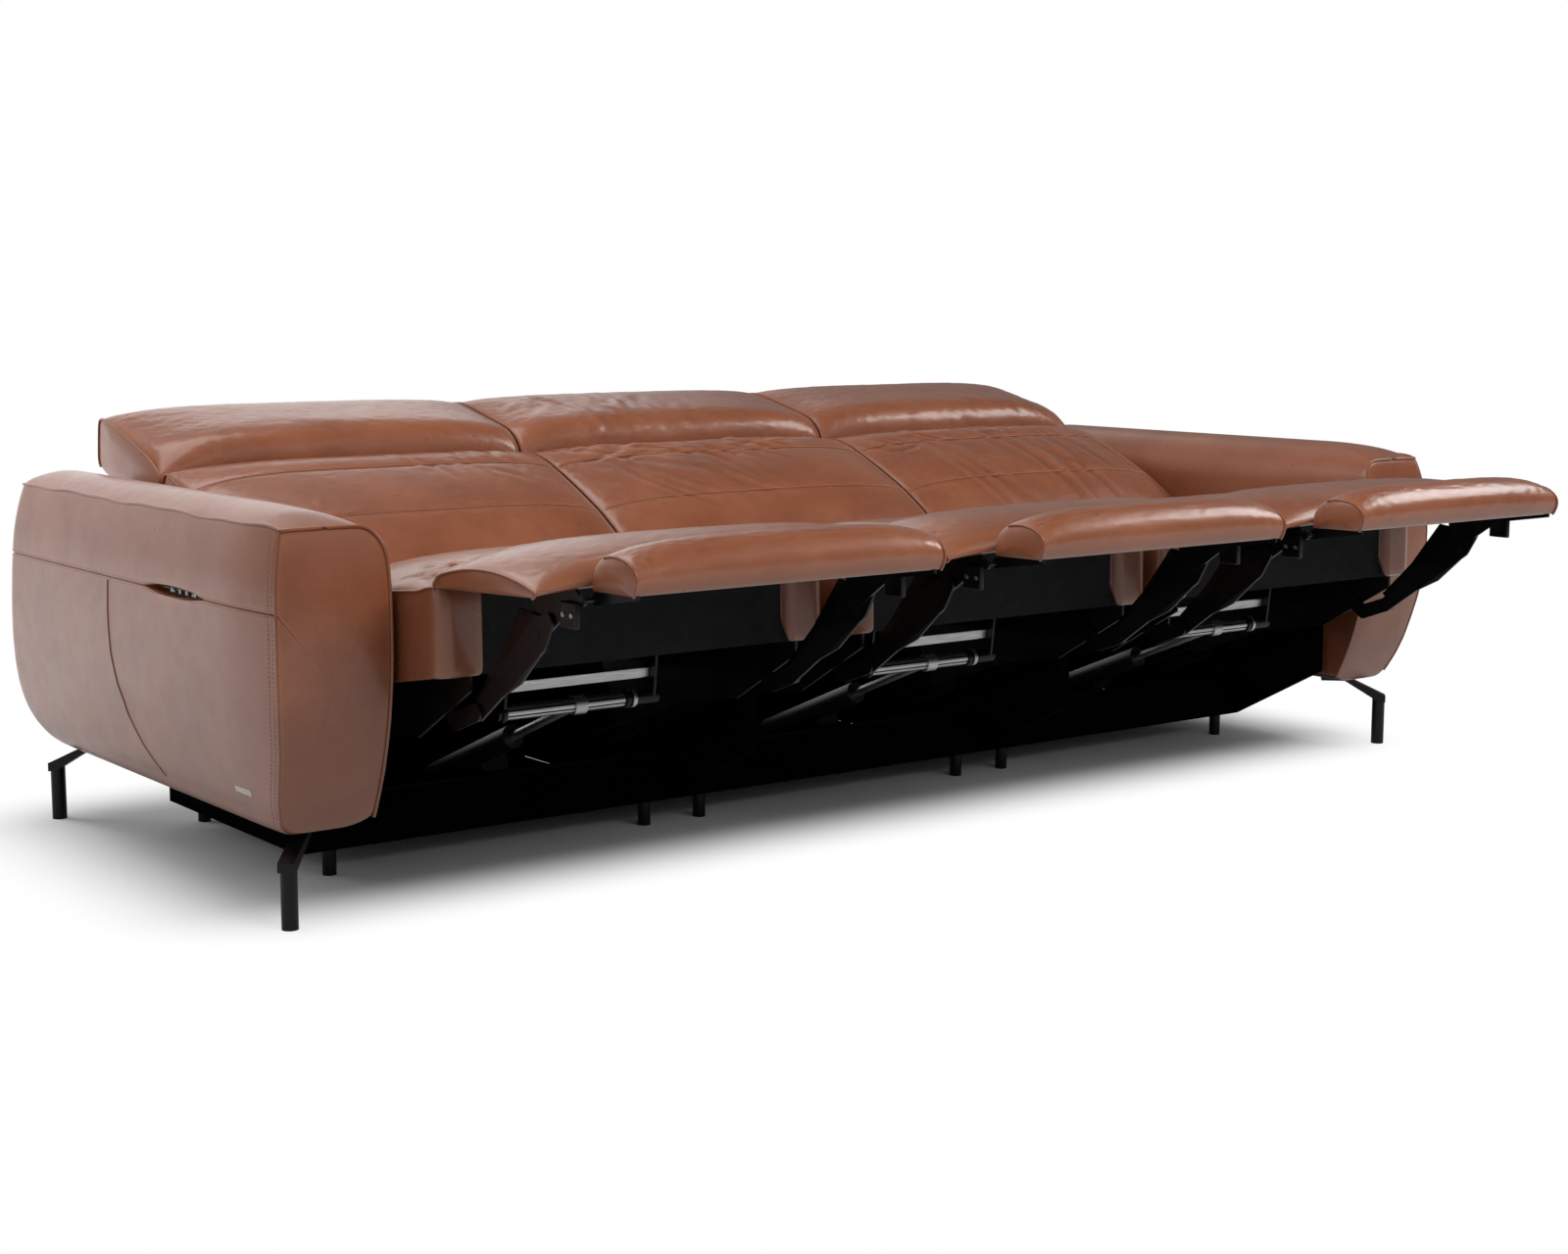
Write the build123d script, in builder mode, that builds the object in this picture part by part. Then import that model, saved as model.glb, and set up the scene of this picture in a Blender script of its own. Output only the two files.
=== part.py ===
from build123d import *
import os
from math import atan2, cos, degrees, hypot, radians, sin, tan

# A straight three-seat power reclining sofa, drawn with every seat reclined and every footrest out.
# X runs along the sofa, Y runs from the footrests to the backs and Z is up from the floor, in millimetres.
# Side outlines are drawn as (y, z), with y counted from the line of the front feet: the front is negative.
# Each seat's side distances are counted outward from the middle of that seat.

# Overall layout
front_feet_y = 35.2
seat_pitch = 800.0
seat_centres = {"left": -seat_pitch, "middle": 0.0, "right": seat_pitch}
running_clearance = 0.05
soft_clearance = 0.4
joint_gap = 0.2

# Feet and base boxes
foot_radius = 12.5
foot_height = 46.0
foot_inset = 51.0
foot_spacing = 544.0
board = 25.0
side_panel = 14.0
base_top = 290.0
base_front = -262.0
base_front_low = 176.0
base_toe = -12.0
front_board_top = 140.0
cross_board_top = 80.0
cross_board_y = 212.0
base_rear = foot_spacing + board / 2
base_half = seat_pitch / 2 - side_panel
foot_side = base_half - foot_inset

# Inclined guides that carry each seat
guide_angle = 21.8
guide_start = (-190.0, 291.0)
guide_length = 522.0
guide_height = 40.0
guide_depth = 18.0
guide_web = 6.0
guide_slot = 24.0
glide_length = 44.0
glide_first = 44.0
glide_second = 262.0
glide_clearance = 0.3
glide_boss = 10.0

# Seat frame, wrapped front and cushion
seat_side_gap = 16.0
seat_half = seat_pitch / 2 - seat_side_gap
seat_front = -483.0
seat_rear = 70.0
seat_rake = 10.0
seat_bottom = 420.0
rail_height = 55.0
rear_rail = 40.0
slat_side = 150.0
slat_width = 40.0
slat_height = 36.0
apron = 10.0
apron_top = 548.0
seat_edge_front = 566.0
seat_edge_rear = 482.0
seat_nose = 34.0
seat_bow = 26.0
seat_crown = 34.0

# Steel plates of the footrest linkage, stacked inward from the guides to the footrest bracket
plate = 5.0
plate_gap = 1.0
carriage_plate = 6.0
carriage_inset = 40.0
rail_side = base_half - guide_depth - carriage_inset
carriage_side = rail_side - carriage_plate
lower_link_side = carriage_side - plate - plate_gap
upper_link_side = lower_link_side - plate - plate_gap
bracket_side = upper_link_side - plate - plate_gap
apron_gap = 4.0
apron_half = carriage_side - apron_gap
pin_radius = 6.0
eye_radius = 11.0
strut_reach = 3.0
link_radius = 15.0
link_shoulder = 28.0
open_pivot_clearance = 0.5

# Pivots of one seat: the two links and the footrest make a parallelogram
footrest_pivot = (-500.0, 565.0)
bracket_pivot = (-690.0, 505.0)
knee_pivot = (-507.0, 362.0)
heel_pivot = (
    knee_pivot[0] - bracket_pivot[0] + footrest_pivot[0],
    knee_pivot[1] - bracket_pivot[1] + footrest_pivot[1],
)
link_elbow = (-440.0, 338.0)
link_tip = (-720.0, 530.0)
drive_tube_y = -300.0
drive_tube_z = 313.0
drive_tube_radius = 12.5
drive_tube_bore = 10.5
drive_tube_end = 14.0

# Back, hinged at the rear of the seat and drawn along its own slope
back_pivot = (100.0, 465.0)
back_slope = 26.5
back_side_gap = 5.0
back_half = seat_pitch / 2 - back_side_gap
back_start = 25.0
back_end = 478.0
back_foot = 16.0
back_seam_low = 180.0
back_seam_high = 373.0
back_low_rise = 4.0
back_seam_low_rise = 10.0
back_seam_high_rise = 12.0
back_high_rise = 2.0
back_low_crown = 24.0
back_seam_low_crown = 66.0
back_seam_high_crown = 35.0
back_high_crown = 15.0
back_depth = 118.0
back_panel = 30.0
back_panel_inset = 23.0
back_panel_half = back_half - back_panel_inset
back_panel_end = 490.0
back_eye = 16.0
back_ear = 6.0
back_ear_side = carriage_side - plate_gap - back_ear
back_pin_radius = 8.0
back_channel = 9.0

# Headrest, hinged in the crease at the top of the back
headrest_pivot = (493.0, -14.0)
headrest_eye = 9.0
headrest_pin_radius = 4.0
headrest_start = 507.0
headrest_end = 816.0
headrest_ear_side = 200.0
headrest_arm = 8.0
headrest_arm_end = 700.0
headrest_heel = (headrest_start, -62.0)
headrest_under = (545.0, -112.0)
headrest_tail = (785.0, -157.0)
headrest_front_rise = -8.0
headrest_middle_rise = -18.0
headrest_top_rise = -58.0
headrest_front_crown = 22.0
headrest_middle_crown = 66.0
headrest_top_crown = 10.0

# Footrest pad and the flipper at its tip
pad_side_gap = 12.0
pad_half = seat_pitch / 2 - pad_side_gap
pad_rear = -514.0
pad_front = -803.0
pad_bottom_rear = 570.5
pad_bottom_front = 590.0
pad_nose = 8.0
pad_edge = 28.0
pad_arch = 22.0
pad_crown = 28.0
bracket_rear = -664.0
bracket_neck = 4.0
bracket_tip = 11.0
bracket_front = pad_front + bracket_tip
flipper_pivot_gap = 9.0
flipper_pivot = (pad_front - flipper_pivot_gap, 573.0)
flipper_pin_radius = 4.0
flipper_eye = 9.0
flipper_side_gap = 10.0
flipper_half = bracket_side - flipper_side_gap
flipper_bracket_inset = 24.0
flipper_bracket_side = bracket_side - flipper_bracket_inset
flipper_gap = 12.0
flipper_depth = 111.0
flipper_rear = pad_front - flipper_gap
flipper_front = flipper_rear - flipper_depth
flipper_bottom = 584.0
flipper_rise = 11.0
flipper_nose = 17.0
flipper_edge = 46.0
flipper_crown = 16.0

# Linear drive that pulls each seat along its guides
rod_radius = 8.0
rod_clevis = 17.0
rod_clevis_half = 12.0
rod_engaged = 70.0
cylinder_radius = 22.0
cylinder_start = 240.0
cylinder_length = 320.0
cylinder_floor = 12.0
motor_size = 58.0
motor_start = 430.0
motor_length = 110.0
drive_foot = 36.0

# Arms and their corner legs
arm_inner = seat_pitch * 1.5
arm_bottom = 152.0
arm_inner_shoulder = 600.0
arm_shoulder = (arm_inner + 29.0, 652.2)
arm_crest = (arm_inner + 115.0, 689.0)
arm_brow = (arm_inner + 155.0, 681.0)
arm_seam = (arm_inner + 187.0, 660.0)
arm_cheek = (arm_inner + 204.2, 590.0)
arm_flank = (arm_inner + 212.0, 500.0)
arm_tuck = (arm_inner + 197.0, 300.0)
arm_sole = arm_inner + 166.0
arm_front_low = -295.0
arm_front = (-381.0, 520.0)
arm_front_top = (-358.0, 657.0)
arm_front_brow = (-285.0, 679.0)
arm_top_start = -150.0
arm_top_rise = 6.0
arm_top_end = 700.0
arm_rear_brow = (755.0, 677.0)
arm_rear_top = (788.0, 655.0)
arm_rear_bow = (812.0, 470.0)
arm_rear = (850.0, 300.0)
arm_rear_tuck = (822.0, 215.0)
arm_rear_low = 640.0
arm_corner = 34.0
arm_corner_margin = 4.0
leg_inset = 59.0
leg_x = arm_flank[0] - leg_inset
leg_front_y = -300.0
leg_rear_y = 738.0
leg_radius = 14.0
leg_bend = 104.0
leg_bar = 8.0
leg_reach = 78.0
leg_plate_front = 52.0
leg_plate_rear = 140.0

# Control strip in a slit of the left arm
slit_middle = (-2.0, 525.0)
slit_half = 107.0
slit_opening = 22.0
slit_depth = 30.0
strip_half = 66.0
strip_height = 13.0
strip_depth = 7.0
button_count = 4
button_spacing = 30.0
button_width = 19.0
button_height = 8.4
button_proud = 2.0
button_travel = 1.5
button_clearance = 0.25

cushion_stations = ((-1, 0), (-0.9, 0.5), (-0.6, 0.9), (0, 1), (0.6, 0.9), (0.9, 0.5), (1, 0))


def side_plane(x):
    """Side view at x, with y counted from the line of the front feet."""
    return Plane(origin=(x, front_feet_y, 0), x_dir=(0, 1, 0), z_dir=(1, 0, 0))


def along_guide(distance):
    """Point at a distance down the guide's centre line."""
    turn = radians(-guide_angle)
    return (guide_start[0] + distance * cos(turn), guide_start[1] + distance * sin(turn))


def along_drive(distance, rise=0.0):
    """Point at a distance from the drive tube along the drive, raised square to it."""
    turn = radians(-guide_angle)
    y = drive_tube_y + distance * cos(turn) - rise * sin(turn)
    z = drive_tube_z + distance * sin(turn) + rise * cos(turn)
    return (y, z)


def on_back(along, rise):
    """Point on the back's own axes, counted from the back's pivot."""
    slope = radians(back_slope)
    y = back_pivot[0] + along * cos(slope) - rise * sin(slope)
    z = back_pivot[1] + along * sin(slope) + rise * cos(slope)
    return (y, z)


def under_seat(y, height=0.0):
    """Point above the raked underside of the seat frame."""
    return (y, seat_bottom + height - (y - seat_front) * tan(radians(seat_rake)))


def under_pad(y):
    """Point on the underside of the footrest pad."""
    share = (y - pad_rear) / (pad_front - pad_rear)
    return (y, pad_bottom_rear + share * (pad_bottom_front - pad_bottom_rear))


def under_flipper(y):
    """Point on the underside of the flipper."""
    share = (y - flipper_rear) / (flipper_front - flipper_rear)
    return (y, flipper_bottom + share * flipper_rise)


def midpoint(first, second, rise=0.0):
    return ((first[0] + second[0]) / 2, (first[1] + second[1]) / 2 + rise)


def draw_outline(*points):
    """Straight-sided face through the points."""
    Polygon(*points, align=None)


def draw_bar(radius, *points):
    """Round-ended bar through the points."""
    for first, second in zip(points, points[1:]):
        run_y = second[0] - first[0]
        run_z = second[1] - first[1]
        with Locations(midpoint(first, second)):
            SlotCenterToCenter(hypot(run_y, run_z), 2 * radius, rotation=degrees(atan2(run_z, run_y)))


def draw_eye(point, radius):
    with Locations(point):
        Circle(radius)


def draw_hole(point, radius):
    with Locations(point):
        Circle(radius, mode=Mode.SUBTRACT)


def add_pin(x, point, radius, length):
    """Round pin along X, from x by a length that is negative towards -X."""
    start = min(x, x + length)
    with Locations(Location((start, front_feet_y + point[0], point[1]), (0, 90, 0))):
        Cylinder(radius, abs(length), align=(Align.CENTER, Align.CENTER, Align.MIN))


def crowned(centre, half_width, outline):
    """Cushion lofted across its width, with its edges drawn in and its middle full."""
    with BuildPart() as cushion:
        for share, fullness in cushion_stations:
            with BuildSketch(side_plane(centre + share * half_width)):
                with BuildLine():
                    outline(fullness)
                make_face()
        loft()
    return cushion.part


def save(part, node):
    part.label = node
    export_step(part, f"parts/{node}.step")


# Base: boxes under the seats, guides, feet, arms, legs and controls


def draw_side_panel():
    draw_outline(
        (base_toe, foot_height),
        (base_rear, foot_height),
        (base_rear, base_top),
        (base_front, base_top),
        (base_front, base_front_low),
    )


with BuildPart() as base_panels:
    for centre in seat_centres.values():
        for side in (-1, 1):
            with BuildSketch(side_plane(centre + side * base_half)):
                draw_side_panel()
            extrude(amount=side * (side_panel - joint_gap))
        with BuildSketch(side_plane(centre - base_half + joint_gap)):
            for middle, top in ((0, front_board_top), (foot_spacing, base_top)):
                with Locations((middle, (foot_height + top) / 2)):
                    Rectangle(board, top - foot_height)
            with Locations((cross_board_y, (foot_height + cross_board_top) / 2)):
                Rectangle(board, cross_board_top - foot_height)
        extrude(amount=2 * (base_half - joint_gap))
save(base_panels.part, "base_panels")

with BuildPart() as guide_rails:
    for centre in seat_centres.values():
        for side in (-1, 1):
            with BuildSketch(side_plane(centre + side * base_half)):
                with Locations(along_guide(guide_length / 2)):
                    Rectangle(guide_length, guide_height, rotation=-guide_angle)
            extrude(amount=-side * guide_depth)
            with BuildSketch(side_plane(centre + side * (base_half - guide_web))):
                with Locations(along_guide(guide_length / 2)):
                    Rectangle(guide_length - 2 * guide_web, guide_slot, rotation=-guide_angle)
            extrude(amount=-side * guide_depth, mode=Mode.SUBTRACT)
save(guide_rails.part, "guide_rails")

with BuildPart() as stub_feet:
    with BuildSketch(Plane.XY):
        for centre in seat_centres.values():
            for side in (-foot_side, foot_side):
                for y in (0, foot_spacing):
                    with Locations((centre + side, front_feet_y + y)):
                        Circle(foot_radius)
    extrude(amount=foot_height)
save(stub_feet.part, "stub_feet")


def arm_section_lines():
    """End view of an arm: flat inside, rounded over the top and full outside, tucked in below."""
    Line((arm_inner, arm_bottom), (arm_inner, arm_inner_shoulder))
    ThreePointArc((arm_inner, arm_inner_shoulder), arm_shoulder, arm_crest)
    ThreePointArc(arm_crest, arm_brow, arm_seam)
    ThreePointArc(arm_seam, arm_cheek, arm_flank)
    ThreePointArc(arm_flank, arm_tuck, (arm_sole, arm_bottom))
    Line((arm_sole, arm_bottom), (arm_inner, arm_bottom))


def arm_profile_lines():
    """Side view of an arm: bowed front, level top that falls at both ends and a back that rounds under."""
    top = arm_crest[1] + arm_top_rise
    Line((arm_rear_low, arm_bottom), (arm_front_low, arm_bottom))
    ThreePointArc((arm_front_low, arm_bottom), arm_front, arm_front_top)
    ThreePointArc(arm_front_top, arm_front_brow, (arm_top_start, top))
    Line((arm_top_start, top), (arm_top_end, top))
    ThreePointArc((arm_top_end, top), arm_rear_brow, arm_rear_top)
    ThreePointArc(arm_rear_top, arm_rear_bow, arm_rear)
    ThreePointArc(arm_rear, arm_rear_tuck, (arm_rear_low, arm_bottom))


def make_arm(side):
    end_view = Plane(origin=(0, 0, 0), x_dir=(side, 0, 0), z_dir=(0, -side, 0))
    length = arm_rear[0] - arm_front[0]
    width = arm_flank[0] - arm_inner + 2 * arm_corner_margin
    middle = front_feet_y + (arm_rear[0] + arm_front[0]) / 2
    with BuildPart() as arm:
        with BuildSketch(end_view):
            with BuildLine():
                arm_section_lines()
            make_face()
        extrude(amount=length, both=True)
        with BuildSketch(side_plane(0)):
            with BuildLine():
                arm_profile_lines()
            make_face()
        extrude(amount=2 * arm_flank[0], both=True, mode=Mode.INTERSECT)
        with BuildSketch(Plane.XY):
            with Locations((side * (arm_inner + arm_flank[0]) / 2, middle)):
                RectangleRounded(width, length + 2 * arm_corner_margin, radius=arm_corner)
            with Locations((side * (arm_inner + arm_flank[0]) / 2, middle - arm_corner)):
                Rectangle(width, length)
        extrude(amount=2 * arm_crest[1], mode=Mode.INTERSECT)
        if side < 0:
            with BuildSketch(side_plane(-arm_flank[0])):
                with BuildLine():
                    slit_lines()
                make_face()
            extrude(amount=slit_depth, both=True, mode=Mode.SUBTRACT)
    return arm.part


def slit_lines():
    """Lens-shaped mouth of the control slit."""
    y, z = slit_middle
    ThreePointArc((y - slit_half, z), (y, z + slit_opening / 2), (y + slit_half, z))
    ThreePointArc((y + slit_half, z), (y, z - slit_opening / 2), (y - slit_half, z))


left_arm = make_arm(-1)
save(left_arm, "left_arm")
right_arm = make_arm(1)
save(right_arm, "right_arm")

with BuildPart() as corner_legs:
    for side in (-1, 1):
        for y, inward, leg_plate in ((leg_front_y, 1, leg_plate_front), (leg_rear_y, -1, leg_plate_rear)):
            foot = (side * leg_x, front_feet_y + y, 0)
            diagonal = Plane(origin=foot, x_dir=(-side, inward, 0), z_dir=(inward, side, 0))
            with BuildSketch(Plane.XY):
                with Locations(foot[:2]):
                    Circle(leg_radius)
            extrude(amount=leg_bend)
            with BuildSketch(diagonal):
                draw_outline(
                    (-leg_radius, leg_bend - leg_bar),
                    (-leg_radius, leg_bend + leg_bar),
                    (leg_reach - leg_bar, arm_bottom),
                    (leg_reach + leg_plate, arm_bottom),
                    (leg_reach + leg_plate, arm_bottom - leg_bar),
                    (leg_reach, arm_bottom - leg_bar),
                    (0, leg_bend - leg_bar),
                )
            extrude(amount=leg_radius, both=True)
save(corner_legs.part, "corner_legs")

strip_back = -arm_flank[0] + slit_depth
strip_face = strip_back - strip_depth
first_button = slit_middle[0] - (button_count - 1) / 2 * button_spacing
button_places = [first_button + i * button_spacing for i in range(button_count)]

with BuildPart() as control_strip:
    with BuildSketch(side_plane(strip_back)):
        with Locations(slit_middle):
            Rectangle(2 * strip_half, strip_height)
    extrude(amount=-strip_depth)
    with BuildSketch(side_plane(strip_face)):
        for y in button_places:
            with Locations((y, slit_middle[1])):
                Rectangle(button_width + 2 * button_clearance, button_height + 2 * button_clearance)
    extrude(amount=strip_depth, mode=Mode.SUBTRACT)
save(control_strip.part, "control_strip")

for i, y in enumerate(button_places):
    with BuildPart() as button:
        with BuildSketch(side_plane(strip_face - button_proud)):
            with Locations((y, slit_middle[1])):
                RectangleRounded(button_width, button_height, radius=button_height / 4)
        extrude(amount=button_proud + strip_depth - button_travel - button_clearance)
    save(button.part, f"button_{i + 1}")

# One seat: carriage, drive, seat, back, headrest, footrest and flipper


def draw_carriage():
    """Side plate from the footrest's eye, under the seat frame, to the back's eye and down to the glides."""
    ear_front = footrest_pivot[0] - strut_reach
    ear_rear = footrest_pivot[0] + eye_radius
    first_glide = along_guide(glide_first)
    second_glide = along_guide(glide_second)
    draw_outline(
        (ear_front, footrest_pivot[1]),
        (ear_rear, footrest_pivot[1]),
        under_seat(ear_rear, rail_height / 2),
        under_seat(back_pivot[0] - back_eye, rail_height / 2),
        (back_pivot[0] - back_eye, back_pivot[1]),
        (back_pivot[0] + back_eye, back_pivot[1]),
        (back_pivot[0] + 2 * back_eye, under_seat(back_pivot[0])[1]),
        (second_glide[0] + glide_boss, second_glide[1] - glide_boss),
        (first_glide[0] - glide_boss, first_glide[1] - glide_boss),
        (drive_tube_y - 2 * drive_tube_radius, drive_tube_z - 1.5 * drive_tube_radius),
        (ear_front, under_seat(ear_front, -rail_height / 2)[1]),
    )
    draw_eye(footrest_pivot, eye_radius)
    draw_eye(back_pivot, back_eye)


def carriage_plates(centre):
    with BuildPart() as plates:
        for side in (-1, 1):
            with BuildSketch(side_plane(centre + side * carriage_side)):
                draw_carriage()
            extrude(amount=side * carriage_plate)
            inner = centre + side * carriage_side
            add_pin(inner, footrest_pivot, pin_radius, -side * (carriage_side - bracket_side))
            add_pin(inner, heel_pivot, pin_radius, -side * (plate + plate_gap))
            add_pin(inner, back_pivot, back_pin_radius, -side * (back_ear + plate_gap))
            slot_face = base_half - guide_depth
            outer = centre + side * rail_side
            for distance in (glide_first, glide_second):
                add_pin(outer, along_guide(distance), glide_boss, side * (slot_face - rail_side))
                with BuildSketch(side_plane(centre + side * slot_face)):
                    with Locations(along_guide(distance)):
                        Rectangle(glide_length, guide_slot - 2 * glide_clearance, rotation=-guide_angle)
                extrude(amount=side * (guide_depth - guide_web - glide_clearance))
    return plates.part


def drive_tube(centre):
    """Cross tube that the drive pulls on, hung from the seat slats."""
    tube_half = slat_side + drive_tube_end
    with BuildPart() as tube:
        for side in (-1, 1):
            with BuildSketch(side_plane(centre + side * slat_side)):
                draw_outline(
                    (drive_tube_y - drive_tube_radius, drive_tube_z),
                    (drive_tube_y + drive_tube_radius, drive_tube_z),
                    under_seat(drive_tube_y + 2 * drive_tube_radius, rail_height - slat_height),
                    under_seat(drive_tube_y - 2 * drive_tube_radius, rail_height - slat_height),
                )
            extrude(amount=side * plate)
        with BuildSketch(side_plane(centre - tube_half)):
            with Locations((drive_tube_y, drive_tube_z)):
                Circle(drive_tube_radius)
        extrude(amount=2 * tube_half)
        with BuildSketch(side_plane(centre - tube_half)):
            with Locations((drive_tube_y, drive_tube_z)):
                Circle(drive_tube_bore)
        extrude(amount=2 * tube_half, mode=Mode.SUBTRACT)
    return tube.part


def drive_plane(distance, centre):
    """Section square to the drive, at a distance from the drive tube."""
    y, z = along_drive(distance)
    turn = radians(-guide_angle)
    return Plane(origin=(centre, front_feet_y + y, z), x_dir=(1, 0, 0), z_dir=(0, cos(turn), sin(turn)))


def actuator_rod(centre):
    with BuildPart() as rod:
        with BuildSketch(side_plane(centre - rod_clevis_half)):
            with Locations((drive_tube_y, drive_tube_z)):
                Circle(rod_clevis + running_clearance)
        extrude(amount=2 * rod_clevis_half)
        with BuildSketch(drive_plane(0, centre)):
            Circle(rod_radius)
        extrude(amount=cylinder_start + rod_engaged)
        with BuildSketch(side_plane(centre - rod_clevis_half)):
            with Locations((drive_tube_y, drive_tube_z)):
                Circle(drive_tube_radius + running_clearance)
        extrude(amount=2 * rod_clevis_half, mode=Mode.SUBTRACT)
    return rod.part


def actuator_body(centre):
    rear = cylinder_start + cylinder_length
    with BuildPart() as body:
        with BuildSketch(drive_plane(cylinder_start, centre)):
            Circle(cylinder_radius)
        extrude(amount=cylinder_length)
        with BuildSketch(side_plane(centre - drive_foot / 2)):
            draw_outline(
                along_drive(rear - drive_foot, -cylinder_radius / 2),
                along_drive(rear, -cylinder_radius / 2),
                (cross_board_y + board / 2, cross_board_top),
                (cross_board_y - board / 2, cross_board_top),
            )
        extrude(amount=drive_foot)
        with BuildSketch(drive_plane(motor_start, centre)):
            with Locations((motor_size, 0)):
                RectangleRounded(motor_size, motor_size, radius=motor_size / 6)
            with Locations((motor_size / 2, 0)):
                Rectangle(motor_size / 2, motor_size / 2)
        extrude(amount=motor_length)
        with BuildSketch(drive_plane(cylinder_start, centre)):
            Circle(rod_radius + running_clearance)
        extrude(amount=cylinder_length - cylinder_floor, mode=Mode.SUBTRACT)
    return body.part


def seat_frame(centre):
    with BuildPart() as frame:
        for side in (-1, 1):
            with BuildSketch(side_plane(centre + side * rail_side)):
                draw_outline(
                    under_seat(seat_front),
                    under_seat(seat_rear),
                    under_seat(seat_rear, rail_height),
                    under_seat(seat_front, rail_height),
                )
            extrude(amount=side * (seat_half - rail_side))
        with BuildSketch(side_plane(centre - carriage_side)):
            draw_outline(
                under_seat(seat_rear - rear_rail),
                under_seat(seat_rear),
                under_seat(seat_rear, rail_height),
                under_seat(seat_rear - rear_rail, rail_height),
            )
        extrude(amount=2 * carriage_side)
        for side in (-1, 1):
            with BuildSketch(side_plane(centre + side * slat_side - slat_width / 2)):
                draw_outline(
                    under_seat(seat_front + joint_gap, rail_height - slat_height),
                    under_seat(seat_rear - rear_rail - joint_gap, rail_height - slat_height),
                    under_seat(seat_rear - rear_rail - joint_gap, rail_height),
                    under_seat(seat_front + joint_gap, rail_height),
                )
            extrude(amount=slat_width)
        with BuildSketch(side_plane(centre - apron_half)):
            draw_outline(
                (seat_front - apron, seat_bottom),
                (seat_front, seat_bottom),
                (seat_front, apron_top),
                (seat_front - apron, apron_top),
            )
        extrude(amount=2 * apron_half)
    return frame.part


def seat_outline(fullness):
    crown = seat_crown * fullness
    low_front = under_seat(seat_front, rail_height)
    low_rear = under_seat(seat_rear, rail_height)
    high_rear = (seat_rear, seat_edge_rear + crown)
    high_front = (seat_front + seat_nose, seat_edge_front + crown)
    nose = (seat_front, seat_edge_front + crown - seat_nose)
    Line(low_front, low_rear)
    Line(low_rear, high_rear)
    ThreePointArc(high_rear, midpoint(high_rear, high_front, seat_bow), high_front)
    TangentArc(nose, high_front, tangent=(0, 1))
    Line(nose, low_front)


def back_outline(fullness):
    """Back cushion in three channels between its sewn lines, fullest at the small of the back."""
    low = on_back(back_start, back_low_rise + back_low_crown * fullness)
    seam_low = on_back(back_seam_low, back_seam_low_rise + back_seam_low_crown * fullness)
    seam_high = on_back(back_seam_high, back_seam_high_rise + back_seam_high_crown * fullness)
    high = on_back(back_end, back_high_rise + back_high_crown * fullness)
    rear_high = on_back(back_end, -back_depth)
    rear_low = on_back(back_start, -back_depth)
    Line(rear_low, rear_high)
    Line(rear_high, high)
    ThreePointArc(high, midpoint(high, seam_high, back_channel), seam_high)
    ThreePointArc(seam_high, midpoint(seam_high, seam_low, back_channel), seam_low)
    ThreePointArc(seam_low, midpoint(seam_low, low, back_channel), low)
    Line(low, rear_low)


def back_frame(centre):
    with BuildPart() as frame:
        with BuildSketch(side_plane(centre - back_panel_half)):
            draw_outline(
                on_back(-back_foot, -back_depth),
                on_back(back_panel_end, -back_depth),
                on_back(back_panel_end, -back_depth - back_panel),
                on_back(-back_foot, -back_depth - back_panel),
            )
        extrude(amount=2 * back_panel_half)
        for side in (-1, 1):
            with BuildSketch(side_plane(centre + side * back_ear_side)):
                draw_outline(
                    on_back(-back_eye, 0),
                    on_back(back_eye, 0),
                    on_back(back_start - soft_clearance, -back_depth),
                    on_back(-back_foot, -back_depth),
                )
                draw_eye(back_pivot, back_eye)
                draw_hole(back_pivot, back_pin_radius + running_clearance)
            extrude(amount=side * back_ear)
            with BuildSketch(side_plane(centre + side * headrest_ear_side)):
                draw_outline(
                    on_back(back_end + soft_clearance, -back_depth),
                    on_back(back_panel_end, -back_depth),
                    on_back(headrest_pivot[0] + headrest_eye, headrest_pivot[1]),
                    on_back(headrest_pivot[0] - headrest_eye, headrest_pivot[1]),
                )
                draw_eye(on_back(*headrest_pivot), headrest_eye)
            extrude(amount=side * plate)
            ear_outside = centre + side * (headrest_ear_side + plate)
            add_pin(ear_outside, on_back(*headrest_pivot), headrest_pin_radius, side * (plate + plate_gap))
    return frame.part


def headrest_outline(fullness):
    middle = (headrest_start + headrest_end) / 2
    front = on_back(headrest_start, headrest_front_rise + headrest_front_crown * fullness)
    crest = on_back(middle, headrest_middle_rise + headrest_middle_crown * fullness)
    top = on_back(headrest_end, headrest_top_rise + headrest_top_crown * fullness)
    Line(on_back(*headrest_heel), on_back(*headrest_under))
    Line(on_back(*headrest_under), on_back(*headrest_tail))
    Line(on_back(*headrest_tail), top)
    ThreePointArc(top, crest, front)
    Line(front, on_back(*headrest_heel))


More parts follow.
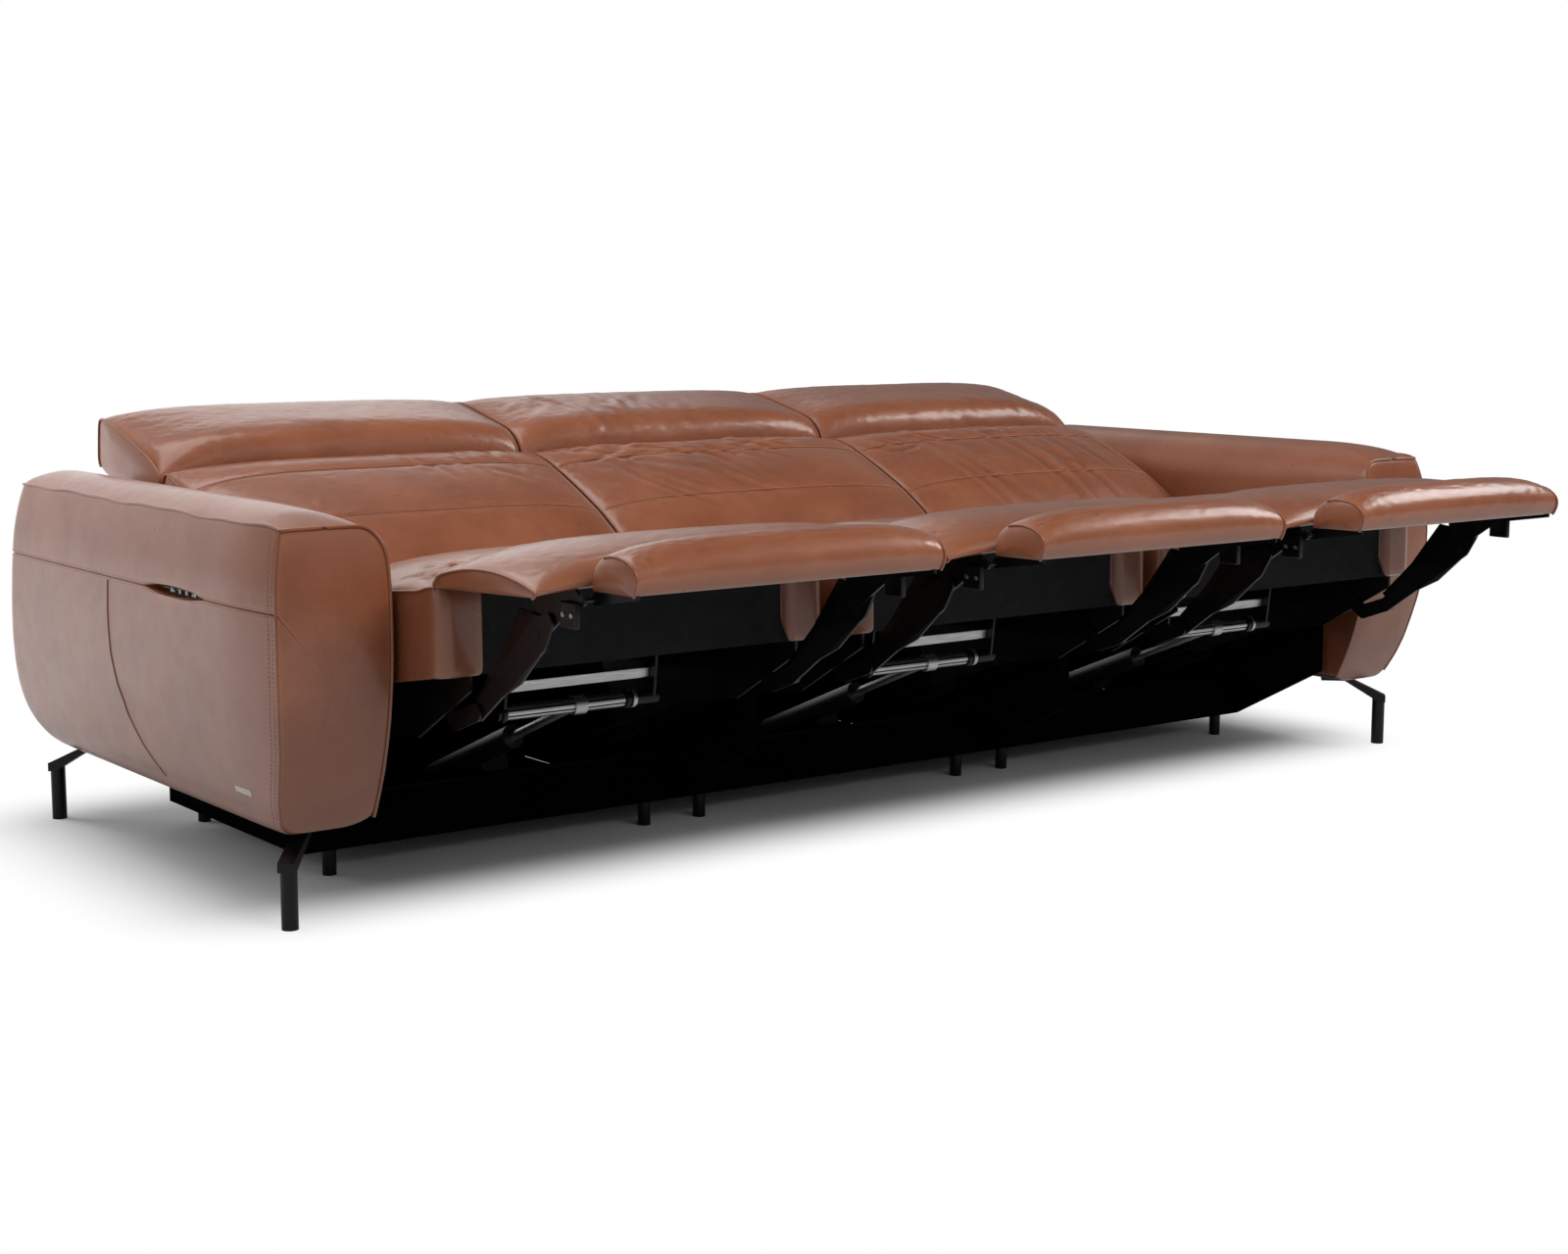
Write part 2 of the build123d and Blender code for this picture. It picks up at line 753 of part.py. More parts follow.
def headrest_arms(centre):
    """Flat arms from the crease hinge, bent along the underside of the headrest."""
    share = (headrest_arm_end - headrest_under[0]) / (headrest_tail[0] - headrest_under[0])
    end_rise = headrest_under[1] + share * (headrest_tail[1] - headrest_under[1])
    with BuildPart() as arms:
        for side in (-1, 1):
            inner = headrest_ear_side + plate + plate_gap
            with BuildSketch(side_plane(centre + side * inner)):
                draw_outline(
                    on_back(headrest_pivot[0] - headrest_eye, headrest_pivot[1]),
                    on_back(headrest_pivot[0] + headrest_eye, headrest_pivot[1]),
                    on_back(*headrest_heel),
                    on_back(*headrest_under),
                    on_back(headrest_arm_end, end_rise),
                    on_back(headrest_arm_end, end_rise - headrest_arm),
                    on_back(headrest_under[0] - headrest_arm, headrest_under[1] - headrest_arm),
                    on_back(headrest_start - 2 * headrest_arm, headrest_heel[1]),
                )
                draw_eye(on_back(*headrest_pivot), headrest_eye)
                draw_hole(on_back(*headrest_pivot), headrest_pin_radius + running_clearance)
            extrude(amount=side * plate)
    return arms.part


def pad_outline(fullness):
    crown = pad_crown * fullness
    low_rear = (pad_rear, pad_bottom_rear)
    low_front = (pad_front, pad_bottom_front)
    high_front = (pad_front, pad_bottom_front + pad_edge + crown / 2)
    high_rear = (pad_rear, pad_bottom_rear + pad_edge + crown)
    nose = (pad_front - pad_nose, (low_front[1] + high_front[1]) / 2)
    Line(low_rear, low_front)
    ThreePointArc(low_front, nose, high_front)
    ThreePointArc(high_front, midpoint(high_front, high_rear, pad_arch), high_rear)
    Line(high_rear, low_rear)


def footrest_brackets(centre):
    """Plates under the pad, from its eye at the seat to the pin that carries the flipper."""
    with BuildPart() as brackets:
        for side in (-1, 1):
            with BuildSketch(side_plane(centre + side * bracket_side)):
                draw_outline(
                    (footrest_pivot[0], footrest_pivot[1] - bracket_neck),
                    (footrest_pivot[0], footrest_pivot[1] + bracket_neck),
                    under_pad(pad_rear),
                    under_pad(bracket_front),
                    flipper_pivot,
                    (bracket_front, flipper_pivot[1] - flipper_eye),
                    (bracket_pivot[0] - link_radius, bracket_pivot[1]),
                    (bracket_pivot[0] + link_radius, bracket_pivot[1]),
                    (bracket_rear, under_pad(bracket_rear)[1] - 2 * bracket_neck),
                )
                draw_eye(footrest_pivot, eye_radius)
                draw_eye(flipper_pivot, flipper_eye)
                draw_eye(bracket_pivot, link_radius)
                draw_hole(footrest_pivot, pin_radius + running_clearance)
            extrude(amount=side * plate)
            outer = centre + side * (bracket_side + plate)
            add_pin(outer, bracket_pivot, pin_radius, side * (plate + plate_gap))
            pin_reach = bracket_side - flipper_bracket_side
            add_pin(centre + side * bracket_side, flipper_pivot, flipper_pin_radius, -side * pin_reach)
    return brackets.part


def upper_links(centre):
    with BuildPart() as links:
        for side in (-1, 1):
            with BuildSketch(side_plane(centre + side * upper_link_side)):
                draw_eye(knee_pivot, link_radius)
                draw_eye(link_tip, link_radius)
                draw_eye(bracket_pivot, link_shoulder)
                make_hull()
                draw_hole(bracket_pivot, pin_radius + running_clearance)
                draw_hole(knee_pivot, pin_radius + open_pivot_clearance)
            extrude(amount=side * plate)
    return links.part


def lower_links(centre):
    with BuildPart() as links:
        for side in (-1, 1):
            with BuildSketch(side_plane(centre + side * lower_link_side)):
                draw_bar(link_radius, heel_pivot, link_elbow, knee_pivot)
                draw_hole(heel_pivot, pin_radius + running_clearance)
            extrude(amount=side * plate)
            add_pin(centre + side * lower_link_side, knee_pivot, pin_radius, -side * (plate + plate_gap))
    return links.part


def flipper_outline(fullness):
    crown = flipper_crown * fullness
    low_rear = (flipper_rear, flipper_bottom)
    low_front = (flipper_front, flipper_bottom + flipper_rise)
    high_front = (flipper_front, low_front[1] + flipper_edge + crown / 2)
    high_rear = (flipper_rear, low_rear[1] + flipper_edge + crown)
    nose = (flipper_front - flipper_nose, (low_front[1] + high_front[1]) / 2)
    Line(low_rear, low_front)
    ThreePointArc(low_front, nose, high_front)
    ThreePointArc(high_front, midpoint(high_front, high_rear, crown / 2 + plate_gap), high_rear)
    Line(high_rear, low_rear)


def flipper_brackets(centre):
    with BuildPart() as brackets:
        for side in (-1, 1):
            with BuildSketch(side_plane(centre + side * flipper_bracket_side)):
                draw_outline(
                    (flipper_pivot[0], flipper_pivot[1] - flipper_eye),
                    (flipper_pivot[0], flipper_pivot[1] + flipper_eye),
                    under_flipper(flipper_rear),
                    under_flipper(flipper_front),
                    (flipper_front, flipper_pivot[1] + flipper_eye),
                )
                draw_eye(flipper_pivot, flipper_eye)
                draw_hole(flipper_pivot, flipper_pin_radius + running_clearance)
            extrude(amount=side * plate)
    return brackets.part


for seat, centre in seat_centres.items():
    save(carriage_plates(centre), f"{seat}_carriage_plates")
    save(drive_tube(centre), f"{seat}_drive_tube")
    save(actuator_rod(centre), f"{seat}_actuator_rod")
    save(actuator_body(centre), f"{seat}_actuator_body")
    save(seat_frame(centre), f"{seat}_seat_frame")
    save(crowned(centre, seat_half, seat_outline), f"{seat}_seat_cushion")
    save(back_frame(centre), f"{seat}_back_frame")
    save(crowned(centre, back_half, back_outline), f"{seat}_back_cushion")
    save(headrest_arms(centre), f"{seat}_headrest_arms")
    save(crowned(centre, back_half, headrest_outline), f"{seat}_headrest_cushion")
    save(footrest_brackets(centre), f"{seat}_footrest_brackets")
    save(crowned(centre, pad_half, pad_outline), f"{seat}_footrest_pad")
    save(lower_links(centre), f"{seat}_lower_links")
    save(upper_links(centre), f"{seat}_upper_links")
    save(flipper_brackets(centre), f"{seat}_flipper_brackets")
    save(crowned(centre, flipper_half, flipper_outline), f"{seat}_flipper_pad")
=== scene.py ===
import math

import bpy
import numpy as np
from mathutils import Matrix, Vector
from mathutils.bvhtree import BVHTree


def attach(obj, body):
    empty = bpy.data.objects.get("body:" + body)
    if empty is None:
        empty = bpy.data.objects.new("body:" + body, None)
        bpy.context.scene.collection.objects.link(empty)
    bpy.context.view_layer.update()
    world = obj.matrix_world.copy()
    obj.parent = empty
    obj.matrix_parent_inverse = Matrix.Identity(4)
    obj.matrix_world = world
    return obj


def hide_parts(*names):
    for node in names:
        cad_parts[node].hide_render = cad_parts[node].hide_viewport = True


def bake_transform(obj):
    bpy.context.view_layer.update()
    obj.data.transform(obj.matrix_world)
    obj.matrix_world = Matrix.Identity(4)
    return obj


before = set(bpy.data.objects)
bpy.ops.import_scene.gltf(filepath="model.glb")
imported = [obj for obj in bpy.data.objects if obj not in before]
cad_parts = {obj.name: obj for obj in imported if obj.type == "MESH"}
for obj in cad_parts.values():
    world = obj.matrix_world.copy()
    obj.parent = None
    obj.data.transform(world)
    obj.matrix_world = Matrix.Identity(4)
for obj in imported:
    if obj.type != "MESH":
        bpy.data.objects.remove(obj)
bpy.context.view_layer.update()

# A straight power reclining sofa with every seat out, covered in brown leather over a black steel mechanism.
# Places are written in millimetres as in the part's own drawing: x along the sofa, y back from the line
# of the front feet, z up. The function at() turns them into metres in the shared frame.
FEET = 35.2
SEATS = {"left": -800.0, "middle": 0.0, "right": 800.0}
BACK_PIVOT = (100.0, 465.0)
BACK_SLOPE = math.radians(26.5)
SEAT_HALF = 384.6
PAD_HALF = 387.0
FLIPPER_HALF = 292.5
BACK_HALF = 394.0


def at(points):
    """Millimetres from the line of the front feet to metres in the shared frame."""
    return (np.asarray(points, float) + (0.0, FEET, 0.0)) / 1000.0


# Materials


def linear(hex_colour):
    """An sRGB hex colour as linear red, green, blue and alpha."""
    values = [int(hex_colour[i:i + 2], 16) / 255 for i in (1, 3, 5)]
    return [v / 12.92 if v <= 0.04045 else ((v + 0.055) / 1.055) ** 2.4 for v in values] + [1.0]


def new_material(name):
    """An empty material, and the coordinates of the piece that it is on."""
    material = bpy.data.materials.new(name)
    material.use_nodes = True
    material.node_tree.nodes.clear()
    return material, add(material, "TexCoord").outputs["Object"]


def add(material, kind, settings=None, **sockets):
    """One node with its settings or colour stops, its sockets set to values or linked from sockets."""
    node = material.node_tree.nodes.new("ShaderNode" + kind)
    for key, value in (settings or {}).items():
        if key == "stops":
            elements = node.color_ramp.elements
            while len(elements) < len(value):
                elements.new(0.5)
            for element, (spot, colour) in zip(elements, value):
                element.position, element.color = spot, linear(colour)
        else:
            setattr(node, key, value)
    for key, value in sockets.items():
        socket = node.inputs[int(key[1:])] if key[0] == "_" else node.inputs[key.replace("_", " ")]
        if isinstance(value, bpy.types.NodeSocket):
            material.node_tree.links.new(value, socket)
        else:
            socket.default_value = value
    return node


def make_leather():
    """Semi-aniline cowhide, drum dyed and lightly finished: cloudy brown, satin and finely pebbled."""
    m, where = new_material("semi_aniline_cowhide")
    clouds = add(m, "TexNoise", Vector=where, Scale=7.0, Detail=5.0, Roughness=0.6).outputs["Fac"]
    browns = {"stops": ((0.3, "#7c452b"), (0.5, "#854b30"), (0.72, "#8f5437"))}
    hide = add(m, "ValToRGB", browns, Fac=clouds).outputs["Color"]
    # Natural pebbles are under 1 mm; they are drawn 2 mm wide so that they show.
    pebbles = add(m, "TexVoronoi", {"feature": "DISTANCE_TO_EDGE"}, Vector=where, Scale=520.0, Randomness=1.0)
    pebble_edge = add(m, "MapRange", Value=pebbles.outputs["Distance"], From_Max=0.28).outputs["Result"]
    greys = {"stops": ((0.0, "#8a8a8a"), (1.0, "#ffffff"))}
    tone = add(m, "ValToRGB", greys, Fac=pebble_edge).outputs["Color"]
    darkened = {"data_type": "RGBA", "blend_type": "MULTIPLY"}
    grained = add(m, "Mix", darkened, _0=0.07, _6=hide, _7=tone).outputs[2]
    # Painted shade darkens the folds and a painted highlight lightens the ridges, both read from the fold
    # attribute.
    fold = add(m, "Attribute", {"attribute_name": "fold"}).outputs["Fac"]
    deep = add(m, "MapRange", Value=fold, To_Max=0.3).outputs["Result"]
    ridge = add(m, "MapRange", Value=fold, From_Max=-1.0, To_Max=0.22).outputs["Result"]
    fold_shaded = add(m, "Mix", {"data_type": "RGBA"}, _0=deep, _6=grained, _7=linear("#4a2413")).outputs[2]
    ridge_highlighted = add(m, "Mix", {"data_type": "RGBA"}, _0=ridge, _6=fold_shaded, _7=linear("#b3785a")).outputs[2]
    patches = add(m, "TexNoise", Vector=where, Scale=24.0, Detail=3.0).outputs["Fac"]
    satin = add(m, "MapRange", Value=patches, From_Min=0.3, From_Max=0.7, To_Min=0.27, To_Max=0.38)
    fibres = add(m, "TexNoise", Vector=where, Scale=85.0, Detail=4.0, Roughness=0.6).outputs["Fac"]
    coarse = add(m, "Bump", Strength=0.12, Distance=0.0012, Height=fibres).outputs["Normal"]
    grain = add(m, "Bump", Strength=0.2, Distance=0.0006, Height=pebble_edge, Normal=coarse).outputs["Normal"]
    # The protective finish lies on the hide as a thin, smoother film.
    shade = add(m, "BsdfPrincipled", Base_Color=ridge_highlighted, Roughness=satin.outputs["Result"], Normal=grain,
                IOR=1.48, Coat_Weight=0.65, Coat_Roughness=0.2)
    add(m, "OutputMaterial", Surface=shade.outputs["BSDF"])
    return m


def make_thread():
    """Bonded polyester thread, twisted and a shade lighter than the hide."""
    m, where = new_material("bonded_polyester_thread")
    diagonal = {"bands_direction": "DIAGONAL"}
    twist = add(m, "TexWave", diagonal, Vector=where, Scale=320.0, Distortion=1.0).outputs["Fac"]
    colour = add(m, "ValToRGB", {"stops": ((0.2, "#9a6a4e"), (0.8, "#ba8a6c"))}, Fac=twist).outputs["Color"]
    bump = add(m, "Bump", Strength=0.4, Distance=0.0003, Height=twist).outputs["Normal"]
    shade = add(m, "BsdfPrincipled", Base_Color=colour, Roughness=0.55, Normal=bump)
    add(m, "OutputMaterial", Surface=shade.outputs["BSDF"])
    return m


def make_black_steel():
    """Stamped steel, powder coated: satin black with a faint orange peel, its tone and gloss changing in
    patches.
    """
    m, where = new_material("powder_coated_steel")
    peel = add(m, "TexNoise", Vector=where, Scale=420.0, Detail=2.0).outputs["Fac"]
    dust = add(m, "TexNoise", Vector=where, Scale=30.0, Detail=6.0).outputs["Fac"]
    colour = add(m, "ValToRGB", {"stops": ((0.35, "#060505"), (0.75, "#110f0e"))}, Fac=dust).outputs["Color"]
    rough = add(m, "MapRange", Value=dust, To_Min=0.26, To_Max=0.46).outputs["Result"]
    bump = add(m, "Bump", Strength=0.12, Distance=0.0004, Height=peel).outputs["Normal"]
    shade = add(m, "BsdfPrincipled", Base_Color=colour, Roughness=rough, Specular_IOR_Level=0.3, Normal=bump)
    add(m, "OutputMaterial", Surface=shade.outputs["BSDF"])
    return m


def make_zinc():
    """Drawn steel, bright zinc plated: silver with fine lines along its length."""
    m, where = new_material("bright_zinc_steel")
    stretched = add(m, "Mapping", Vector=where, Scale=(20.0, 900.0, 900.0)).outputs["Vector"]
    lines = add(m, "TexNoise", Vector=stretched, Scale=1.0, Detail=3.0).outputs["Fac"]
    colour = add(m, "ValToRGB", {"stops": ((0.3, "#9a9a99"), (0.7, "#d6d6d4"))}, Fac=lines).outputs["Color"]
    rough = add(m, "MapRange", Value=lines, To_Min=0.3, To_Max=0.46).outputs["Result"]
    bump = add(m, "Bump", Strength=0.1, Distance=0.0002, Height=lines).outputs["Normal"]
    shade = add(m, "BsdfPrincipled", Base_Color=colour, Metallic=1.0, Roughness=rough, Normal=bump)
    add(m, "OutputMaterial", Surface=shade.outputs["BSDF"])
    return m


def make_lining():
    """Spunbonded polypropylene dust cover: matt black with a fine crossed embossing and soft creases."""
    m, where = new_material("spunbond_dust_cover")
    # The embossed dots are under 1 mm apart; they are drawn 3 mm apart so that they show.
    dots = add(m, "TexVoronoi", Vector=where, Scale=340.0, Randomness=0.2).outputs["Distance"]
    folds = add(m, "TexNoise", Vector=where, Scale=22.0, Detail=5.0, Distortion=0.6).outputs["Fac"]
    colour = add(m, "ValToRGB", {"stops": ((0.35, "#0f1012"), (0.7, "#1b1d20"))}, Fac=folds).outputs["Color"]
    soft = add(m, "Bump", Strength=0.5, Distance=0.004, Height=folds).outputs["Normal"]
    fine = add(m, "Bump", Strength=0.35, Distance=0.0006, Height=dots, Normal=soft).outputs["Normal"]
    shade = add(m, "BsdfPrincipled", Base_Color=colour, Roughness=0.72, Specular_IOR_Level=0.25, Normal=fine)
    add(m, "OutputMaterial", Surface=shade.outputs["BSDF"])
    return m


def make_board():
    """Plywood boards wrapped in black felted cloth: almost black, with a nap that shows only up close."""
    m, where = new_material("felted_plywood")
    nap = add(m, "TexNoise", Vector=where, Scale=600.0, Detail=3.0).outputs["Fac"]
    wear = add(m, "TexNoise", Vector=where, Scale=9.0, Detail=4.0).outputs["Fac"]
    colour = add(m, "ValToRGB", {"stops": ((0.35, "#020202"), (0.75, "#050404"))}, Fac=wear).outputs["Color"]
    bump = add(m, "Bump", Strength=0.4, Distance=0.0006, Height=nap).outputs["Normal"]
    shade = add(m, "BsdfPrincipled", Base_Color=colour, Roughness=1.0, Specular_IOR_Level=0.02, Normal=bump)
    add(m, "OutputMaterial", Surface=shade.outputs["BSDF"])
    return m


def make_plastic():
    """Moulded ABS with a spark-eroded texture: dark grey and slightly glossy."""
    m, where = new_material("moulded_abs")
    spark = add(m, "TexNoise", Vector=where, Scale=1400.0, Detail=2.0).outputs["Fac"]
    tint = add(m, "TexNoise", Vector=where, Scale=40.0).outputs["Fac"]
    colour = add(m, "ValToRGB", {"stops": ((0.3, "#0b0b0c"), (0.7, "#141415"))}, Fac=tint).outputs["Color"]
    bump = add(m, "Bump", Strength=0.2, Distance=0.0003, Height=spark).outputs["Normal"]
    shade = add(m, "BsdfPrincipled", Base_Color=colour, Roughness=0.42, Normal=bump)
    add(m, "OutputMaterial", Surface=shade.outputs["BSDF"])
    return m


def make_print():
    """White pad-printing ink, a little uneven at its edges."""
    m, where = new_material("pad_printing_ink")
    uneven = add(m, "TexNoise", Vector=where, Scale=900.0, Detail=2.0).outputs["Fac"]
    colour = add(m, "ValToRGB", {"stops": ((0.3, "#dcdcde"), (0.7, "#f6f6f8"))}, Fac=uneven).outputs["Color"]
    shade = add(m, "BsdfPrincipled", Base_Color=colour, Roughness=0.5)
    add(m, "OutputMaterial", Surface=shade.outputs["BSDF"])
    return m


def make_nickel():
    """Brushed nickel plate with lines along its length."""
    m, where = new_material("brushed_nickel")
    stretched = add(m, "Mapping", Vector=where, Scale=(900.0, 25.0, 2400.0)).outputs["Vector"]
    lines = add(m, "TexNoise", Vector=stretched, Scale=1.0, Detail=2.0).outputs["Fac"]
    colour = add(m, "ValToRGB", {"stops": ((0.3, "#a79f97"), (0.7, "#d8d2ca"))}, Fac=lines).outputs["Color"]
    shade = add(m, "BsdfPrincipled", Base_Color=colour, Metallic=1.0, Roughness=0.32)
    add(m, "OutputMaterial", Surface=shade.outputs["BSDF"])
    return m


leather = make_leather()
thread = make_thread()
black_steel = make_black_steel()
zinc = make_zinc()
lining = make_lining()
board = make_board()
plastic = make_plastic()
print_ink = make_print()
nickel = make_nickel()

node_finish = {
    "base_panels": board,
    "seat_frame": lining,
    "back_frame": lining,
    "control_strip": plastic,
    "actuator_body": plastic,
    "actuator_rod": zinc,
}
for node_name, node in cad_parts.items():
    finish = black_steel
    for ending, chosen in node_finish.items():
        if node_name.endswith(ending):
            finish = chosen
    if node_name.startswith("button"):
        finish = plastic
    node.data.materials.clear()
    node.data.materials.append(finish)


# Sections of the cushions, as (y, z) rings that every station across the width shares


def spread(count):
    """Shares from 0 to 1, closer together near the sewn ends."""
    u = np.arange(count) / count
    return 0.6 * u + 0.2 * (1 - np.cos(math.pi * u))


def straight(first, second, count):
    share = spread(count)[:, None]
    return np.asarray(first) * (1 - share) + np.asarray(second) * share


def bowed(first, second, rise, count):
    """Run from first to second that swells by a rise in z at its middle."""
    share = spread(count)
    run = straight(first, second, count)
    run[:, 1] += 4 * rise * share * (1 - share)
    return run


def curved(first, through, second, count):
    """Run that passes a third point at its middle."""
    share = spread(count)[:, None]
    first, through, second = np.asarray(first), np.asarray(through), np.asarray(second)
    bend = 2 * through - (first + second) / 2
    return (1 - share) ** 2 * first + 2 * share * (1 - share) * bend + share ** 2 * second


def between(marks, known, values):
    """Each column of values, known at some marks, read off at others."""
    return np.column_stack([np.interp(marks, known, column) for column in np.asarray(values).T])


def traced(corners, count):
    """Run along a line of corners, evenly spaced."""
    corners = np.asarray(corners, float)
    length = np.concatenate([[0], np.cumsum(np.hypot(*np.diff(corners, axis=0).T))])
    return between(np.arange(count) / count * length[-1], length, corners)


def rounded(ring, sewn, rounds):
    """Ring with its corners eased, apart from the sewn points."""
    free = np.ones(len(ring))
    free[list(sewn)] = 0
    for _ in range(rounds):
        ring = ring + 0.5 * free[:, None] * ((np.roll(ring, 1, 0) + np.roll(ring, -1, 0)) / 2 - ring)
    return ring


def fullness(share, snug=(0.0, 0.0)):
    """How far a cushion is filled at a share of its half width: full in the middle and drawn in at its ends,
    less so at an end that is snug against its neighbour."""
    free = (1 - share ** 4) ** 0.65
    return free + snug[share > 0] * (1 - free)


def stations(count):
    u = np.linspace(-1, 1, count)
    return 0.5 * u + 0.5 * np.sin(u * math.pi / 2)


def under_seat(y, height):
    return 420.0 + height - (y + 483.0) * math.tan(math.radians(10.0))


def on_back(run):
    """Points on the back's own axes to (y, z)."""
    run = np.asarray(run, float)
    y = BACK_PIVOT[0] + run[:, 0] * math.cos(BACK_SLOPE) - run[:, 1] * math.sin(BACK_SLOPE)
    z = BACK_PIVOT[1] + run[:, 0] * math.sin(BACK_SLOPE) + run[:, 1] * math.cos(BACK_SLOPE)
    return np.stack([y, z], 1)


SEAT_FOLD_ROW = 62
SEAT_NOSE_ROW = 66
SEAT_FRONT_ROW = 70
SEAT_FLAP_FROM = 0.783
SEAT_SIDE_FROM = 0.857
SEAT_CORNER = 26.0


def seat_section(share, full):
    """Seat cover: its sides hang past the frame, and a flap hangs lower at either end of its front."""
    clear_of_frame, past_frame = 56.0, -1.0
    flap = abs(share) > SEAT_FLAP_FROM
    lift = past_frame if abs(share) > SEAT_SIDE_FROM else clear_of_frame
    hang = past_frame if flap else clear_of_frame
    low_front = (-513.0 if flap else -484.0, under_seat(-484.0, hang))
    flap_rear = (-474.0, under_seat(-474.0, hang))
    flap_root = (-470.0, under_seat(-470.0, lift))
    low_rear = (69.0, under_seat(69.0, lift))
    high_rear = (74.0, 472.0 + 44.0 * full)
    high_front = (-452.0, 556.0 + 45.0 * full)
    fold = (-499.0, 566.0 + 35.0 * full)
    nose = (-512.0 if flap else -487.0, 546.0 + 8.0 * full)
    above_fold = ((high_front[0] + fold[0]) / 2, (high_front[1] + fold[1]) / 2 + 3.0)
    ring = np.concatenate([
        np.array([low_front, flap_rear]),
        straight(flap_root, low_rear, 10),
        straight(low_rear, high_rear, 4),
        bowed(high_rear, high_front, 9.0 + 16.0 * full, 40),
        curved(high_front, above_fold, fold, 6),
        straight(fold, nose, 4),
        straight(nose, low_front, 8),
    ])
    ring = rounded(ring, (0, 1, 2, SEAT_FOLD_ROW, SEAT_FRONT_ROW), 3)
    # The front corner below the fold goes round to the side.
    near_end = max(0.0, 1.0 - (1.0 - abs(share)) * SEAT_HALF / SEAT_CORNER)
    turn = SEAT_CORNER * (1.0 - math.sqrt(1.0 - near_end ** 2))
    below = np.arange(len(ring) - SEAT_FOLD_ROW) / (SEAT_NOSE_ROW - SEAT_FOLD_ROW)
    ring[SEAT_FOLD_ROW:, 0] += turn * np.clip(below, 0, 1)
    ring[0, 0] += turn
    return ring


def pad_section(share, full):
    low_rear = (-504.0, 567.0 + 6.0 * full)
    low_front = (-801.0, 581.0 + 9.5 * full)
    high_front = (-782.0, 597.0 + 33.0 * full)
    high_rear = (-520.0, 588.0 + 36.0 * full)
    fold = (-499.5, 566.5 + 35.0 * full)
    ring = np.concatenate([
        straight(low_rear, low_front, 14),
        curved(low_front, (-808.0 - 3.0 * full, 588.0 + 17.0 * full), high_front, 8),
        bowed(high_front, high_rear, 16.0 + 4.0 * full, 32),
        curved(high_rear, (-507.0, 578.0 + 40.0 * full), fold, 6),
        straight(fold, low_rear, 4),
    ])
    return rounded(ring, (14, 60), 3)


def flipper_section(share, full):
    low_rear = (-814.5, 586.0)
    low_front = (-927.0, 588.0)
    high_front = (-912.0, 637.0 + 20.0 * full)
    high_rear = (-852.0, 639.0 + 22.0 * full)
    ring = np.concatenate([
        straight(low_rear, low_front, 10),
        curved(low_front, (-936.0 - 4.0 * full, 617.0 + 8.0 * full), high_front, 12),
        bowed(high_front, high_rear, 4.0 + 3.0 * full, 16),
        curved(high_rear, (-823.0, 624.0 + 5.0 * full), low_rear, 8),
    ])
    return rounded(ring, (0, 10), 3)


BACK_SEAMS = (40, 64)


def back_section(share, full):
    rear_low = (26.0, -117.0)
    rear_high = (477.0, -117.0)
    high = (490.0, 3.0 + 15.0 * full)
    seam_high = (378.0, 16.0 + 44.0 * full)
    seam_low = (187.0, 15.0 + 60.0 * full)
    low = (4.0, 8.0 + 22.0 * full)
    ring = np.concatenate([
        straight(rear_low, rear_high, 14),
        straight(rear_high, high, 8),
        bowed(high, seam_high, 12.0 * full, 18),
        bowed(seam_high, seam_low, 5.0 * full, 24),
        bowed(seam_low, low, 7.0 * full, 20),
        straight(low, rear_low, 8),
    ])
    return on_back(rounded(ring, BACK_SEAMS, 6))


def headrest_section(share, full):
    """Headrest cover: a flat face that ends in a roll above the fold."""
    heel = (506.0, -62.0)
    under = (545.0, -111.0)
    tail = (786.0, -156.0)
    middle = np.array([(818, -52), (798, -22), (740, -3), (660, 21), (585, 45),
                       (556, 50), (530, 39), (511, 15), (502, -10)])
    end = np.array([(820, -62), (790, -50), (740, -37), (660, -23), (590, -12),
                    (560, -11), (535, -13), (515, -14), (502, -18)])
    face = middle * full + end * (1 - full)
    ring = np.concatenate([
        straight(heel, under, 4),
        straight(under, tail, 12),
        straight(tail, face[0], 10),
        traced(face, 46),
        straight(face[-1], heel, 6),
    ])
    return on_back(rounded(ring, (), 6))


# Covers


class Cover:
    """A lofted cover and the vertex numbers of its grid: stations across, points round the ring."""

    def __init__(self, piece, grid):
        self.piece = piece
        self.grid = grid


